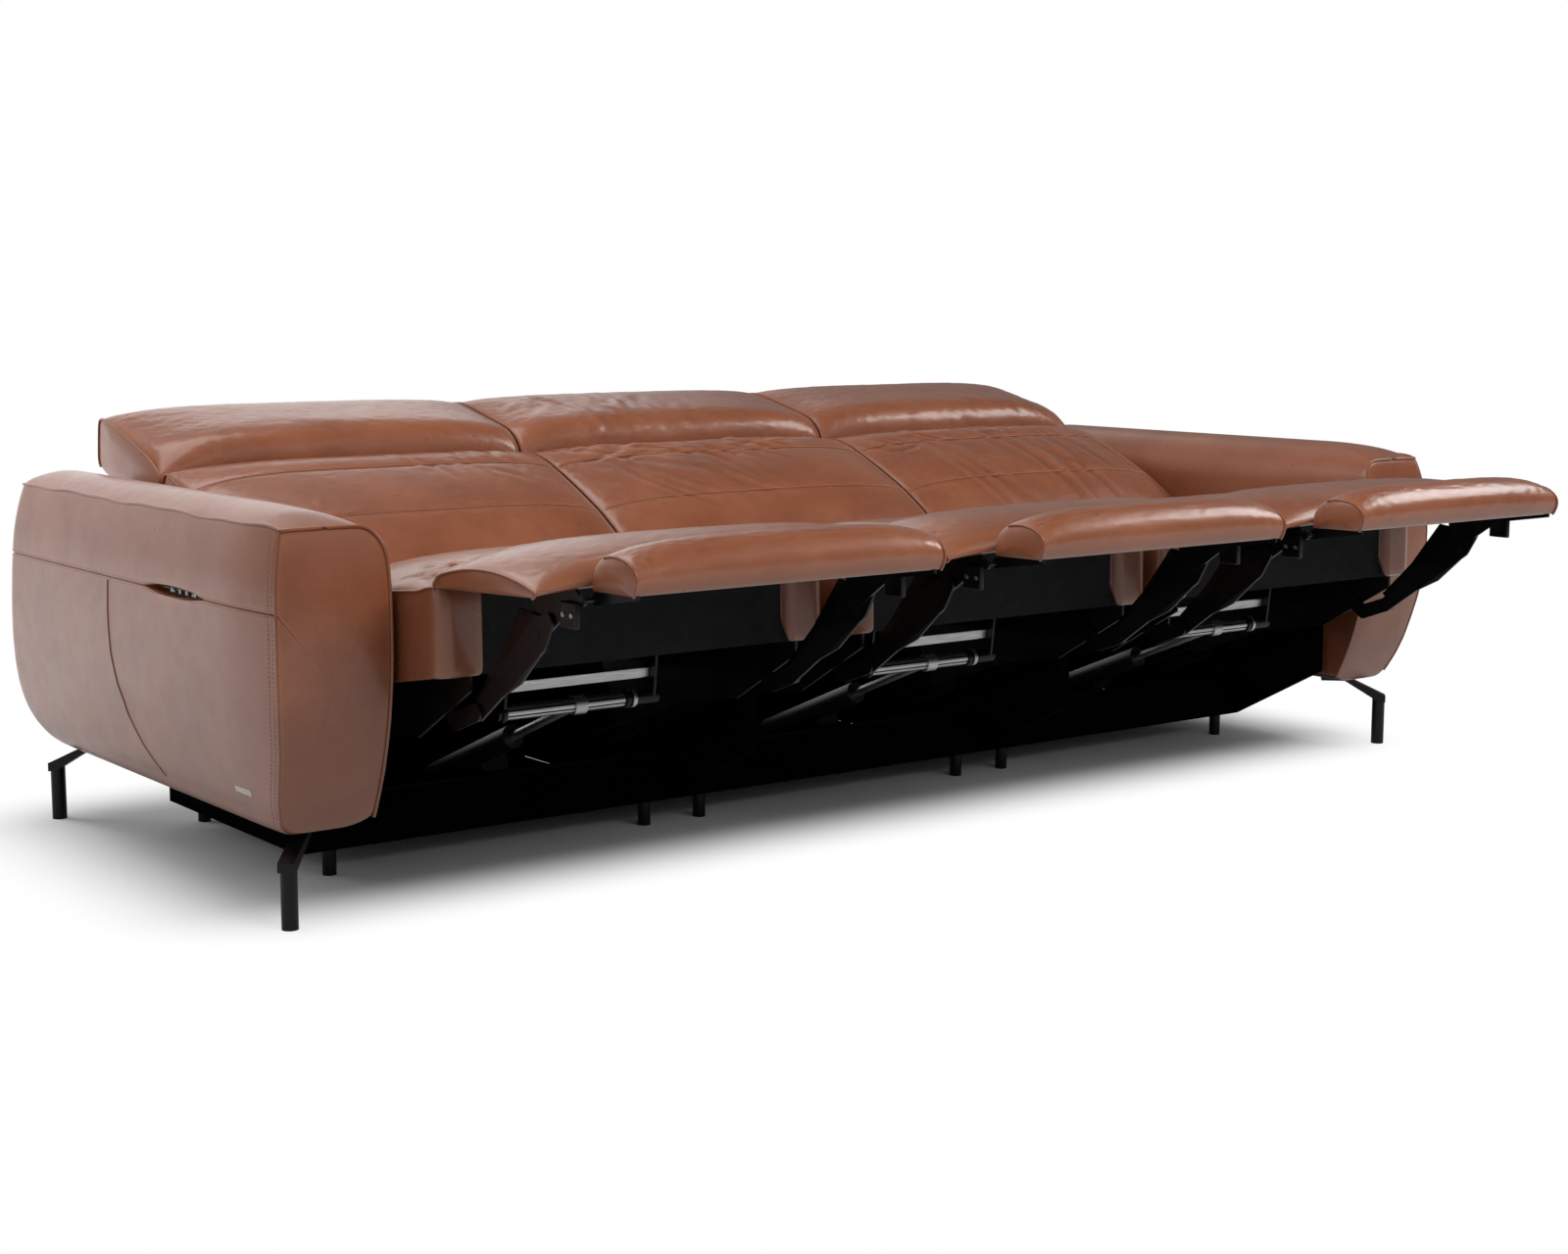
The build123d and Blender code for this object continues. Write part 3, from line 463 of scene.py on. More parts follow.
def loft(name, rings, bulge, first_out, last_out, lined, lay=None):
    """Closed cover through rings in millimetres, with a bulged panel sewn in at each end.
    The rows from lined[0] to lined[1] are lining, and lay moves a panel's points onto its bowed end."""
    rings = np.asarray(rings, float)
    count, around = rings.shape[:2]
    points = [rings.reshape(-1, 3)]
    grid = np.arange(count * around).reshape(count, around)
    faces = []
    for i in range(count - 1):
        a, b = grid[i], grid[i + 1]
        faces += zip(a, np.roll(a, -1), np.roll(b, -1), b)
    total = count * around
    ends = ((rings[0], grid[0], first_out), (rings[-1], grid[-1], last_out))
    for number, (ring, outer, outward) in enumerate(ends):
        middle = (ring.min(0) + ring.max(0))[None] / 2
        before = outer
        for share in (0.03, 0.1, 0.22, 0.4, 0.6, 0.8):
            inner = ring * (1 - share) + middle * share
            if lay:
                inner = lay(inner, number)
            points.append(inner + np.asarray(outward) * bulge * (1 - (1 - share) ** 3))
            loop = np.arange(total, total + around)
            faces += zip(before, np.roll(before, -1), np.roll(loop, -1), loop)
            before = loop
            total += around
        if lay:
            middle = lay(middle, number)
        points.append(middle + np.asarray(outward) * bulge)
        faces += [(p, q, total) for p, q in zip(before, np.roll(before, -1))]
        total += 1
    mesh = bpy.data.meshes.new(name)
    mesh.from_pydata(at(np.concatenate(points)).tolist(), [], [tuple(int(v) for v in f) for f in faces])
    piece = bpy.data.objects.new(name, mesh)
    bpy.context.collection.objects.link(piece)
    work_on(piece)
    bpy.ops.object.mode_set(mode="EDIT")
    bpy.ops.mesh.select_all(action="SELECT")
    bpy.ops.mesh.normals_make_consistent(inside=False)
    bpy.ops.object.mode_set(mode="OBJECT")
    bpy.ops.object.shade_smooth()
    mesh.materials.append(leather)
    mesh.materials.append(lining)
    rows = np.zeros(len(mesh.polygons), int)
    strips = rows[:(count - 1) * around].reshape(count - 1, around)
    strips[:, lined[0]:lined[1]] = 1
    mesh.polygons.foreach_set("material_index", rows)
    across = np.zeros(len(mesh.vertices))
    across[:count * around] = np.repeat(np.linspace(-1, 1, count), around)
    along = np.full(len(mesh.vertices), -1.0)
    along[:count * around] = np.tile(np.arange(around), count)
    for key, values in (("across", across), ("along", along)):
        mesh.attributes.new(key, "FLOAT", "POINT").data.foreach_set("value", values.astype(np.float32))
    return Cover(piece, grid)


def work_on(piece):
    bpy.ops.object.select_all(action="DESELECT")
    piece.select_set(True)
    bpy.context.view_layer.objects.active = piece


def places(piece):
    values = np.empty(len(piece.data.vertices) * 3)
    piece.data.vertices.foreach_get("co", values)
    return values.reshape(-1, 3)


def place(piece, values):
    piece.data.vertices.foreach_set("co", np.ascontiguousarray(values).ravel())
    piece.data.update()


def normals(piece):
    values = np.empty(len(piece.data.vertices) * 3)
    piece.data.vertex_normals.foreach_get("vector", values)
    return values.reshape(-1, 3)


def cushion(name, centre, half, section, count, bulge, lined, snug):
    rings = []
    for share in stations(count):
        yz = section(share, fullness(share, snug))
        rings.append(np.column_stack([np.full(len(yz), centre + share * half), yz]))
    return loft(name, rings, bulge, (-1, 0, 0), (1, 0, 0), lined)


def prepare_cloth(cover, sewn, pressure, spare, seed):
    """Gives a cover Cloth with its sewn points held, spare leather across it and air under it."""
    piece = cover.piece
    rest = places(piece)
    held = piece.vertex_groups.new(name="sewn")
    held.add([int(v) for v in sewn], 1.0, "REPLACE")
    noise = np.random.default_rng(seed)
    free = np.ones(len(rest))
    free[sewn] = 0
    uneven = rest + normals(piece) * (noise.normal(0, 0.0004, len(rest)) * free)[:, None]
    place(piece, uneven)
    piece.shape_key_add(name="fitted")
    loose = piece.shape_key_add(name="cut")
    middle = rest.mean(0)
    larger = middle + (uneven - middle) * (1 + np.asarray(spare))
    loose.data.foreach_set("co", larger.ravel())
    loose.value = 0.0
    cloth = piece.modifiers.new("leather", "CLOTH")
    settings = cloth.settings
    settings.quality = 4
    settings.mass = 0.3
    settings.tension_stiffness = 25
    settings.compression_stiffness = 12
    settings.shear_stiffness = 8
    settings.bending_stiffness = 0.6
    settings.air_damping = 6
    settings.vertex_group_mass = "sewn"
    settings.rest_shape_key = loose
    settings.use_pressure = True
    settings.uniform_pressure_force = pressure
    settings.effector_weights.gravity = 0
    cloth.collision_settings.use_collision = False
    cloth.point_cache.frame_end = 20
    return rest


def settle(jobs, reach):
    """Runs the prepared covers together and keeps their shapes, no point moving further than the reach."""
    scene = bpy.context.scene
    for step in range(1, 19):
        scene.frame_set(step)
    graph = bpy.context.evaluated_depsgraph_get()
    for cover, rest in jobs:
        piece = cover.piece
        eased = piece.evaluated_get(graph).to_mesh()
        values = np.empty(len(rest) * 3)
        eased.vertices.foreach_get("co", values)
        moved = values.reshape(-1, 3) - rest
        length = np.linalg.norm(moved, axis=1)
        kept = reach * np.tanh(length / reach) / np.maximum(length, 1e-9)
        piece.modifiers.clear()
        piece.shape_key_clear()
        piece.vertex_groups.clear()
        place(piece, rest + moved * kept[:, None])
    scene.frame_set(1)


def wrinkle(piece, rows, strokes):
    """Presses folds into a finished cover. A stroke is a line of (share across, share along its rows),
    a width and a height in millimetres."""
    count = len(piece.data.vertices)
    across, along = np.empty(count, np.float32), np.empty(count, np.float32)
    piece.data.attributes["across"].data.foreach_get("value", across)
    piece.data.attributes["along"].data.foreach_get("value", along)
    points = places(piece)
    outward = normals(piece)
    chosen = np.flatnonzero((along > rows[0]) & (along < rows[1]))
    here = points[chosen] * 1000
    low, high = here.min(0), here.max(0)
    half, middle = (high[0] - low[0]) / 2, (high[0] + low[0]) / 2
    depth = math.hypot(high[1] - low[1], high[2] - low[2])
    u = here[:, 0] - middle
    v = (along[chosen] - rows[0]) / (rows[1] - rows[0]) * depth
    rise = np.zeros(len(chosen))
    for line, wide, height in strokes:
        line = np.asarray(line, float) * (half, depth)
        best = np.full(len(chosen), 1e9)
        share = np.zeros(len(chosen))
        parts = len(line) - 1
        for k in range(parts):
            du, dv = line[k + 1] - line[k]
            t = np.clip(((u - line[k, 0]) * du + (v - line[k, 1]) * dv) / (du * du + dv * dv), 0, 1)
            gap = np.hypot(u - line[k, 0] - t * du, v - line[k, 1] - t * dv)
            nearer = gap < best
            best = np.where(nearer, gap, best)
            share = np.where(nearer, (k + t) / parts, share)
        taper = np.sin(np.clip(share, 0.03, 0.97) * math.pi) ** 0.7
        swell = np.exp(-(best / wide) ** 2)
        flank = np.exp(-((best - 1.8 * wide) / (0.9 * wide)) ** 2)
        rise += height * taper * (swell - 0.4 * flank)
    # The folds die out 25 mm from the ends and 12 mm from the first and last rows.
    inside = np.clip((half - np.abs(u)) / 25.0, 0, 1) * np.clip(np.minimum(v, depth - v) / 12.0, 0, 1)
    points[chosen] += outward[chosen] * (rise * inside)[:, None] / 1000
    place(piece, points)


def scatter(seed, count, across, along, heading, length, wide, height):
    """Slightly curved strokes scattered over part of a cover. Heading is in degrees from straight across."""
    dice = np.random.default_rng(seed)
    strokes = []
    for _ in range(count):
        turn = math.radians(dice.normal(*heading))
        reach = dice.uniform(*length)
        way = np.array([math.cos(turn), math.sin(turn) * 1.6]) * reach / 2
        middle = np.array([dice.uniform(*across), dice.uniform(*along)])
        bend = np.array([-way[1], way[0]]) * dice.uniform(-0.35, 0.35)
        line = [middle - way, middle - way * 0.4 + bend * 0.8, middle + way * 0.4 + bend * 0.7, middle + way]
        width = dice.uniform(*wide)
        rise = dice.uniform(*height) * dice.choice([-1, 1], p=[0.45, 0.55])
        strokes.append((line, width, rise))
    return strokes


def groove(cover, rows, depth):
    """Draws the sewn rows in below the leather on either side."""
    points = places(cover.piece)
    outward = normals(cover.piece)
    for row in rows:
        for offset, share in ((-1, 0.3), (0, 1.0), (1, 0.3)):
            line = cover.grid[1:-1, row + offset]
            points[line] -= outward[line] * depth * share / 1000
    place(cover.piece, points)


def subdivide(piece, levels):
    work_on(piece)
    smooth = piece.modifiers.new("smooth", "SUBSURF")
    smooth.levels = levels
    smooth.render_levels = levels
    bpy.ops.object.modifier_apply(modifier="smooth")


def shade_folds(piece):
    """Keeps how far each point lies in a fold or on a ridge, for the leather's painted shade and painted
    highlight.
    """
    points = places(piece)
    edges = np.empty(len(piece.data.edges) * 2, int)
    piece.data.edges.foreach_get("vertices", edges)
    edges = edges.reshape(-1, 2)
    outward = normals(piece)
    hollow = np.zeros(len(points))
    links = np.zeros(len(points))
    step = points[edges[:, 1]] - points[edges[:, 0]]
    length = np.maximum(np.linalg.norm(step, axis=1), 1e-6)
    for end, sign in ((0, 1), (1, -1)):
        lift = sign * (step * outward[edges[:, end]]).sum(1) / length ** 2
        np.add.at(hollow, edges[:, end], lift)
        np.add.at(links, edges[:, end], 1)
    hollow /= np.maximum(links, 1)
    for _ in range(4):
        total = np.zeros(len(points))
        np.add.at(total, edges[:, 0], hollow[edges[:, 1]])
        np.add.at(total, edges[:, 1], hollow[edges[:, 0]])
        hollow = 0.5 * hollow + 0.5 * total / np.maximum(links, 1)
    fold = piece.data.attributes.new("fold", "FLOAT", "POINT")
    fold.data.foreach_set("value", np.clip(hollow / 12.0, -1, 1).astype(np.float32))
    for key in ("across", "along"):
        piece.data.attributes.remove(piece.data.attributes[key])


def tube(name, points, radius, material):
    """Piping or rod: a round tube along points in metres, made a mesh."""
    line = bpy.data.curves.new(name, "CURVE")
    line.dimensions = "3D"
    line.bevel_depth = radius / 1000
    line.bevel_resolution = 2
    line.use_fill_caps = True
    spline = line.splines.new("POLY")
    spline.points.add(len(points) - 1)
    spline.points.foreach_set("co", np.column_stack([points, np.ones(len(points))]).ravel())
    piece = bpy.data.objects.new(name, line)
    bpy.context.collection.objects.link(piece)
    work_on(piece)
    bpy.ops.object.convert(target="MESH")
    piece = bpy.context.view_layer.objects.active
    bpy.ops.object.shade_smooth()
    piece.data.materials.clear()
    piece.data.materials.append(material)
    return piece


def evenly(points, spacing):
    """Points at an even spacing in metres along a line, with their directions."""
    points = np.asarray(points)
    run = np.concatenate([[0], np.cumsum(np.linalg.norm(np.diff(points, axis=0), axis=1))])
    marks = np.arange(spacing / 2, run[-1], spacing)
    step = 0.001
    way = between(np.minimum(marks + step, run[-1]), run, points)
    way -= between(np.maximum(marks - step, 0), run, points)
    return between(marks, run, points), way / np.maximum(np.linalg.norm(way, axis=1), 1e-9)[:, None]


def stitches(name, lines, spacing=0.0075, length=0.0052, width=0.0013):
    """Rows of thread stitches. A line is its points and the surface's outward directions there, in metres."""
    shape = np.array([(-1, 0, 0), (-0.7, 0.9, 0), (-0.7, 0, 0.8), (-0.7, -0.9, 0),
                      (0.7, 0.9, 0), (0.7, 0, 0.8), (0.7, -0.9, 0), (1, 0, 0)])
    sides = [(0, 2, 1), (0, 3, 2), (1, 2, 5, 4), (2, 3, 6, 5),
             (4, 5, 7), (5, 6, 7), (0, 1, 4, 7), (0, 7, 6, 3)]
    local = shape * (length / 2, width / 2, width / 2)
    points, faces = [], []
    for line, outward in lines:
        even, way = evenly(line, spacing)
        up = between(np.linspace(0, 1, len(even)), np.linspace(0, 1, len(outward)), outward)
        sideways = np.cross(up, way)
        sideways /= np.maximum(np.linalg.norm(sideways, axis=1), 1e-9)[:, None]
        for k in range(len(even)):
            first = len(points)
            points += list(even[k] + local @ np.array([way[k], sideways[k], up[k]]))
            faces += [tuple(first + v for v in side) for side in sides]
    mesh = bpy.data.meshes.new(name)
    mesh.from_pydata([tuple(p) for p in points], [], faces)
    piece = bpy.data.objects.new(name, mesh)
    bpy.context.collection.objects.link(piece)
    mesh.materials.append(thread)
    return piece


def row_line(cover, row, first=1, last=-1, lift=0.0):
    """Points and outward directions along a row of the grid, across the width."""
    line = cover.grid[first:last, row]
    outward = normals(cover.piece)[line]
    return places(cover.piece)[line] + outward * lift / 1000, outward


def beside_row(cover, row, side, offset, lift):
    """Line beside a row, offset in millimetres towards the next row."""
    points, outward = row_line(cover, row)
    beyond = row_line(cover, row + side)[0] - points
    beyond /= np.maximum(np.linalg.norm(beyond, axis=1), 1e-9)[:, None]
    return points + beyond * offset / 1000 + outward * lift / 1000, outward


def ring_line(cover, station, rows, lift):
    """Points along part of a ring."""
    line = cover.grid[station][np.arange(rows[0], rows[1]) % cover.grid.shape[1]]
    outward = normals(cover.piece)[line]
    return places(cover.piece)[line] + outward * lift / 1000


# Arms

ARM_SEAM_ROW = 53
ARM_SLIT_ROW = 67
ARM_CORNER_END_ROW = 108
ARM_SOLE_ROW = 111
ARM_INNER_FACE = 1200.0
ARM_MIDDLE = 106.0
ARM_REAR_CORNER = 30
SLIT_MIDDLE = -2.0
SLIT_HALF = 107.0
SLIT_OPENING = 10.5
SLIT_DEPTH = 36.0


def arm_section():
    """End view of an arm as (distance out from the inner face, z), from the inner sole over the top."""
    ring = np.concatenate([
        straight((0.0, 168.0), (0.0, 596.0), 26),
        curved((0.0, 596.0), (27.0, 655.0), (115.0, 688.0), 18),
        curved((115.0, 688.0), (154.0, 681.0), (187.0, 660.0), 9),
        curved((187.0, 660.0), (204.0, 596.0), (210.5, 529.0), 14),
        np.array([(210.5, 527.0), (207.0, 526.6), (207.0, 525.4), (210.5, 525.0)]),
        curved((210.5, 523.0), (209.0, 400.0), (197.0, 300.0), 20),
        curved((197.0, 300.0), (187.0, 225.0), (174.0, 184.0), 14),
        curved((174.0, 184.0), (165.0, 160.0), (144.0, 153.0), 6),
        straight((144.0, 153.0), (13.0, 153.0), 10),
    ])
    return rounded(ring, (0, ARM_SEAM_ROW, *range(ARM_SLIT_ROW, ARM_SLIT_ROW + 4)), 3)


def arm_front(z):
    """How far forward the bowed front of an arm lies at a height."""
    return np.interp(z, (152, 180, 212, 250, 297, 345, 396, 445, 493, 557, 590, 620, 657),
                     (-294, -309, -324, -340, -355, -367, -376, -380, -381, -378, -373, -367, -357))


def arm_rear(z):
    """How far back the rear of an arm lies at a height."""
    return np.interp(z, (152, 158, 165, 175, 190, 215, 240, 270, 300, 373, 452, 530, 600, 655),
                     (640, 700, 735, 768, 798, 823, 838, 847, 849, 831, 814, 801, 793, 787))


def arm_top(y):
    """How high the top of an arm may rise at a distance from its ends, where it falls to the sewn edges."""
    return np.interp(y, (-358, -340, -320, -300, -285, -250, -210, -160, 690, 725, 755, 772, 788),
                     (656, 663, 669, 675, 679, 685, 691, 698, 698, 689, 677, 667, 654))


def make_arm(side):
    ring = arm_section()
    z = ring[:, 1]
    front, rear = arm_front(z), arm_rear(z)
    outer = ring[:, 0] > ARM_MIDDLE
    upper, lower = ARM_SLIT_ROW, ARM_SLIT_ROW + 3
    softness = 5.0
    draw_in, draw_from, draw_over = 11.0, -190, 180
    rings = []
    for share in np.concatenate([
        np.linspace(0, 0.2, 20)[:-1],
        np.linspace(0.2, 0.88, 44)[:-1],
        1 - 0.12 * np.linspace(1, 0, 16) ** 1.4,
    ]):
        y = front + (rear - front) * share
        behind = np.clip(rear - y, 0, ARM_REAR_CORNER)
        drawn = ARM_REAR_CORNER - np.sqrt(ARM_REAR_CORNER ** 2 - (ARM_REAR_CORNER - behind) ** 2)
        out = ring[:, 0] + np.where(outer, -1, 1) * np.minimum(drawn, np.abs(ring[:, 0] - ARM_MIDDLE))
        # The outer side is drawn in towards the front.
        ahead = np.clip((draw_from - y) / draw_over, 0, 1)
        out = np.where(outer, out - draw_in * ahead ** 2, out)
        # The section and the falling top meet in a soft curve.
        low = np.exp(-(z - 400) / softness) + np.exp(-(arm_top(y) - 400) / softness)
        height = 400 - softness * np.log(low)
        along = y[ARM_SEAM_ROW]
        height[ARM_SEAM_ROW] += 1.6 * math.sin(along / 62) + 1.1 * math.sin(along / 27 + 1)
        if side < 0:
            open_by = SLIT_OPENING * np.clip(1 - ((y[upper + 1] - SLIT_MIDDLE) / SLIT_HALF) ** 2, 0, 1)
            height[upper:lower + 1] += open_by * np.array([1.0, 0.8, -0.8, -1.0])
            # It has its whole depth where it is open by 3 mm or more.
            out[upper + 1:lower] -= SLIT_DEPTH * min(1.0, open_by / 3.0)
        rings.append(np.column_stack([side * (ARM_INNER_FACE + out), y, height]))

    def lay(inner, number):
        bow = (arm_front, arm_rear)[number](inner[:, 2])
        return np.column_stack([inner[:, 0], bow, inner[:, 2]])

    name = ("left" if side < 0 else "right") + "_arm_cover"
    return loft(name, rings, 5.0, (0, -1, 0), (0, 1, 0), (ARM_SOLE_ROW, len(ring)), lay)


arms = {"left_arm": make_arm(-1), "right_arm": make_arm(1)}

# Seat by seat: covers over the seat, footrest, flipper, back and headrest

SNUG = 0.48
CLOTH_SEED = 7
# Half width, section, stations across, bulge of the ends and lined rows of each kind of cover
made = {
    "seat": (SEAT_HALF, seat_section, 80, 1.2, (0, 16)),
    "pad": (PAD_HALF, pad_section, 80, 3.0, (0, 14)),
    "flipper": (FLIPPER_HALF, flipper_section, 60, 6.0, (0, 10)),
    "back": (BACK_HALF, back_section, 84, 4.0, (0, 0)),
    "headrest": (BACK_HALF, headrest_section, 84, 7.0, (0, 4)),
}
free_rows = {"seat": (19, 60), "pad": (24, 58), "flipper": (14, 44), "back": (24, 82), "headrest": (27, 74)}
piped_rows = {"seat": (16, 64), "pad": (14, 60), "flipper": (10, 39), "back": (14, 86), "headrest": (16, 76)}
pressures = {"seat": 0.8, "pad": 0.8, "flipper": 0.8, "back": 0.7, "headrest": 0.25}
spare_leather = {"left": 0.004, "middle": 0.014, "right": 0.016}
replaced = {"seat": "seat_cushion", "pad": "footrest_pad", "flipper": "flipper_pad",
            "back": "back_cushion", "headrest": "headrest_cushion"}
rides_on = {"seat": "carriage", "pad": "footrest", "flipper": "flipper",
            "back": "back", "headrest": "headrest"}

seats = {}
for seat, centre in SEATS.items():
    snug = (0.0 if seat == "left" else SNUG, 0.0 if seat == "right" else SNUG)
    seats[seat] = {}
    for kind, (half, shape, count, bulge, lined) in made.items():
        name = f"{seat}_footrest_cover" if kind == "pad" else f"{seat}_{kind}_cover"
        ends = snug if kind in ("back", "headrest") else (0.0, 0.0)
        seats[seat][kind] = cushion(name, centre, half, shape, count, bulge, lined, ends)

jobs = []
for number, (seat, covers) in enumerate(seats.items()):
    for kind, cover in covers.items():
        grid = cover.grid
        held = np.ones(len(cover.piece.data.vertices), bool)
        first, last = free_rows[kind]
        held[grid[2:-2, first:last]] = False
        if kind == "back":
            held[grid[:, BACK_SEAMS]] = True
        spare = spare_leather[seat] * np.array([1.0, 0.6, 0.6])
        rest = prepare_cloth(cover, np.flatnonzero(held), pressures[kind], spare, CLOTH_SEED + number)
        jobs.append((cover, rest))
settle(jobs, reach=0.014)

for covers in seats.values():
    groove(covers["back"], BACK_SEAMS, 2.2)

trims = []
for seat, covers in seats.items():
    for kind, cover in covers.items():
        body = f"{seat}_{rides_on[kind]}"
        for station, end in ((0, "left"), (-1, "right")):
            edge = ring_line(cover, station, piped_rows[kind], 0.8)
            trims.append((tube(f"{seat}_{kind}_{end}_piping", edge, 2.4, leather), body))
    back_lines = [beside_row(covers["back"], row, -1, 3.0, 0.7) for row in BACK_SEAMS]
    trims.append((stitches(f"{seat}_back_stitches", back_lines, 0.0065, 0.0055, 0.0022), f"{seat}_back"))


def onto_arm(cover, side, places_yz):
    """Points where lines straight in from the side meet an arm, with the directions outward there."""
    points, outward = [], []
    faces = [tuple(face.vertices) for face in cover.piece.data.polygons]
    skin = BVHTree.FromPolygons([tuple(p) for p in places(cover.piece)], faces)
    for y, z in places_yz:
        start = Vector(at((side * 1600.0, y, z)))
        spot, way, _, _ = skin.ray_cast(start, Vector((-side, 0, 0)))
        points.append(spot)
        outward.append(way if way.x * side > 0 else -way)
    return np.array(points), np.array(outward)


for node, cover in arms.items():
    side = node.split("_")[0]
    sign = -1 if side == "left" else 1
    corner_lines = []
    for station in (1, 2):
        line = cover.grid[station, ARM_SEAM_ROW + 2:ARM_CORNER_END_ROW]
        outward = normals(cover.piece)[line]
        corner_lines.append((places(cover.piece)[line] + outward * 0.0005, outward))
    heights = np.linspace(520.0, 186.0, 40)
    curve = np.interp(heights, (183, 232, 281, 335, 389, 455, 522), (136, 205, 254, 280, 292, 292, 287))
    seam, outward = onto_arm(cover, sign, np.column_stack([curve, heights]))
    for ending, line, radius in (
        ("front_piping", ring_line(cover, 0, (0, ARM_SEAM_ROW + 1), 1.0), 3.0),
        ("corner_seam", ring_line(cover, 0, (ARM_SEAM_ROW, ARM_CORNER_END_ROW), 0.2), 1.6),
        ("panel_seam", seam + outward * 0.0002, 1.5),
        ("top_piping", row_line(cover, ARM_SEAM_ROW, 0, -4, 0.6)[0], 2.6),
    ):
        trims.append((tube(f"{side}_arm_{ending}", line, radius, leather), "base"))
    slit_lines = [beside_row(cover, ARM_SLIT_ROW, -1, 4.0, 0.5)]
    slit_lines.append(beside_row(cover, ARM_SLIT_ROW + 3, 1, 4.0, 0.5))
    for ending, lines in (("corner_stitches", corner_lines), ("side_stitches", slit_lines)):
        trims.append((stitches(f"{side}_arm_{ending}", lines), "base"))

for node, cover in arms.items():
    subdivide(cover.piece, 1)
    shade_folds(cover.piece)
    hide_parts(node)
    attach(cover.piece, "base")

# Scattered folds: seed, count, where across, where along, heading and its spread, length, width, height
creases = {
    ("left", "back"): [(3, 10, (0.1, 0.9), (0.05, 0.5), (60, 25), (0.1, 0.25), (7, 14), (0.6, 1.6))],
    ("middle", "back"): [
        (4, 22, (-0.9, 0.5), (0.03, 0.3), (8, 14), (0.2, 0.5), (8, 14), (1.2, 3.0)),
        (5, 16, (-0.8, 0.4), (0.25, 0.6), (28, 16), (0.2, 0.5), (9, 16), (0.8, 2.2)),
    ],
    ("right", "back"): [
        (6, 14, (-0.9, 0.2), (0.03, 0.35), (20, 20), (0.15, 0.4), (8, 14), (0.9, 2.2)),
        (7, 20, (-0.5, 0.85), (0.15, 0.75), (68, 12), (0.2, 0.5), (9, 16), (1.0, 2.6)),
    ],
    ("left", "headrest"): [(8, 5, (-0.6, 0.8), (0.6, 0.9), (2, 5), (0.4, 0.8), (16, 24), (0.4, 0.9))],
    ("middle", "headrest"): [(9, 18, (-0.8, 0.1), (0.25, 0.8), (110, 24), (0.12, 0.35), (8, 15), (0.9, 2.4))],
    ("right", "headrest"): [(10, 10, (0.0, 0.8), (0.3, 0.9), (40, 30), (0.15, 0.4), (9, 16), (0.6, 1.5))],
    ("left", "seat"): [(11, 18, (-0.98, -0.7), (0.72, 0.98), (50, 14), (0.08, 0.2), (7, 11), (1.8, 4.2))],
    ("middle", "seat"): [(12, 14, (-0.9, 0.9), (0.5, 0.95), (75, 20), (0.1, 0.3), (9, 15), (0.6, 1.6))],
    ("right", "seat"): [
        (13, 24, (-0.9, 0.9), (0.45, 0.95), (80, 14), (0.12, 0.35), (9, 16), (0.9, 2.2)),
        (17, 18, (-0.85, 0.9), (0.84, 0.97), (88, 8), (0.08, 0.14), (11, 15), (2.2, 3.6)),
    ],
    ("left", "pad"): [(14, 5, (-0.9, 0.6), (0.1, 0.8), (15, 30), (0.15, 0.4), (12, 20), (0.4, 0.9))],
    ("middle", "pad"): [(15, 9, (-0.9, 0.6), (0.3, 0.95), (70, 30), (0.15, 0.4), (12, 20), (0.5, 1.1))],
    ("right", "pad"): [(16, 9, (-0.9, 0.6), (0.3, 0.95), (70, 30), (0.15, 0.4), (12, 20), (0.5, 1.1))],
}
crease_rows = {"seat": (18, 62), "pad": (22, 58), "back": (22, 84), "headrest": (27, 74)}

for seat, covers in seats.items():
    for kind, cover in covers.items():
        subdivide(cover.piece, 1)
        strokes = [stroke for group in creases.get((seat, kind), ()) for stroke in scatter(*group)]
        if strokes:
            wrinkle(cover.piece, crease_rows[kind], strokes)
        shade_folds(cover.piece)
        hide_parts(f"{seat}_{replaced[kind]}")
        if kind in ("seat", "pad"):
            end = tuple(at((SEATS[seat], -514.0, 600.0)))
            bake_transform(cover.piece)
        else:
            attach(cover.piece, f"{seat}_{rides_on[kind]}")

for piece, body in trims:
    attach(piece, body)

# Small hard pieces, each modelled from a primitive


def settle_place(piece, name, material, bevel):
    """Bevels a piece, puts its place into its mesh and gives it a finish."""
    piece.name = name
    bpy.ops.object.transform_apply(location=True, rotation=True, scale=True)
    edge = piece.modifiers.new("edge", "BEVEL")
    edge.width = bevel / 1000
    edge.segments = 2
    edge.limit_method = "ANGLE"
    bpy.ops.object.modifier_apply(modifier="edge")
    bpy.ops.object.shade_smooth_by_angle(angle=math.radians(40))
    piece.data.materials.clear()
    piece.data.materials.append(material)
    return piece


def block(name, middle, size, material, bevel, turn=(0.0, 0.0, 0.0)):
    """Plate or box whose two broad faces are sunk a little inside their rims."""
    bpy.ops.object.select_all(action="DESELECT")
    bpy.ops.mesh.primitive_cube_add(size=1.0, location=tuple(at(middle)), rotation=turn)
    piece = bpy.context.active_object
    piece.scale = np.asarray(size) / 1000
    bpy.ops.object.transform_apply(location=False, rotation=False, scale=True)
    thin = int(np.argmin(size))
    sink_broad_faces(piece, thin, 0.12 * sorted(size)[1], 0.08 * size[thin])
    return settle_place(piece, name, material, bevel)


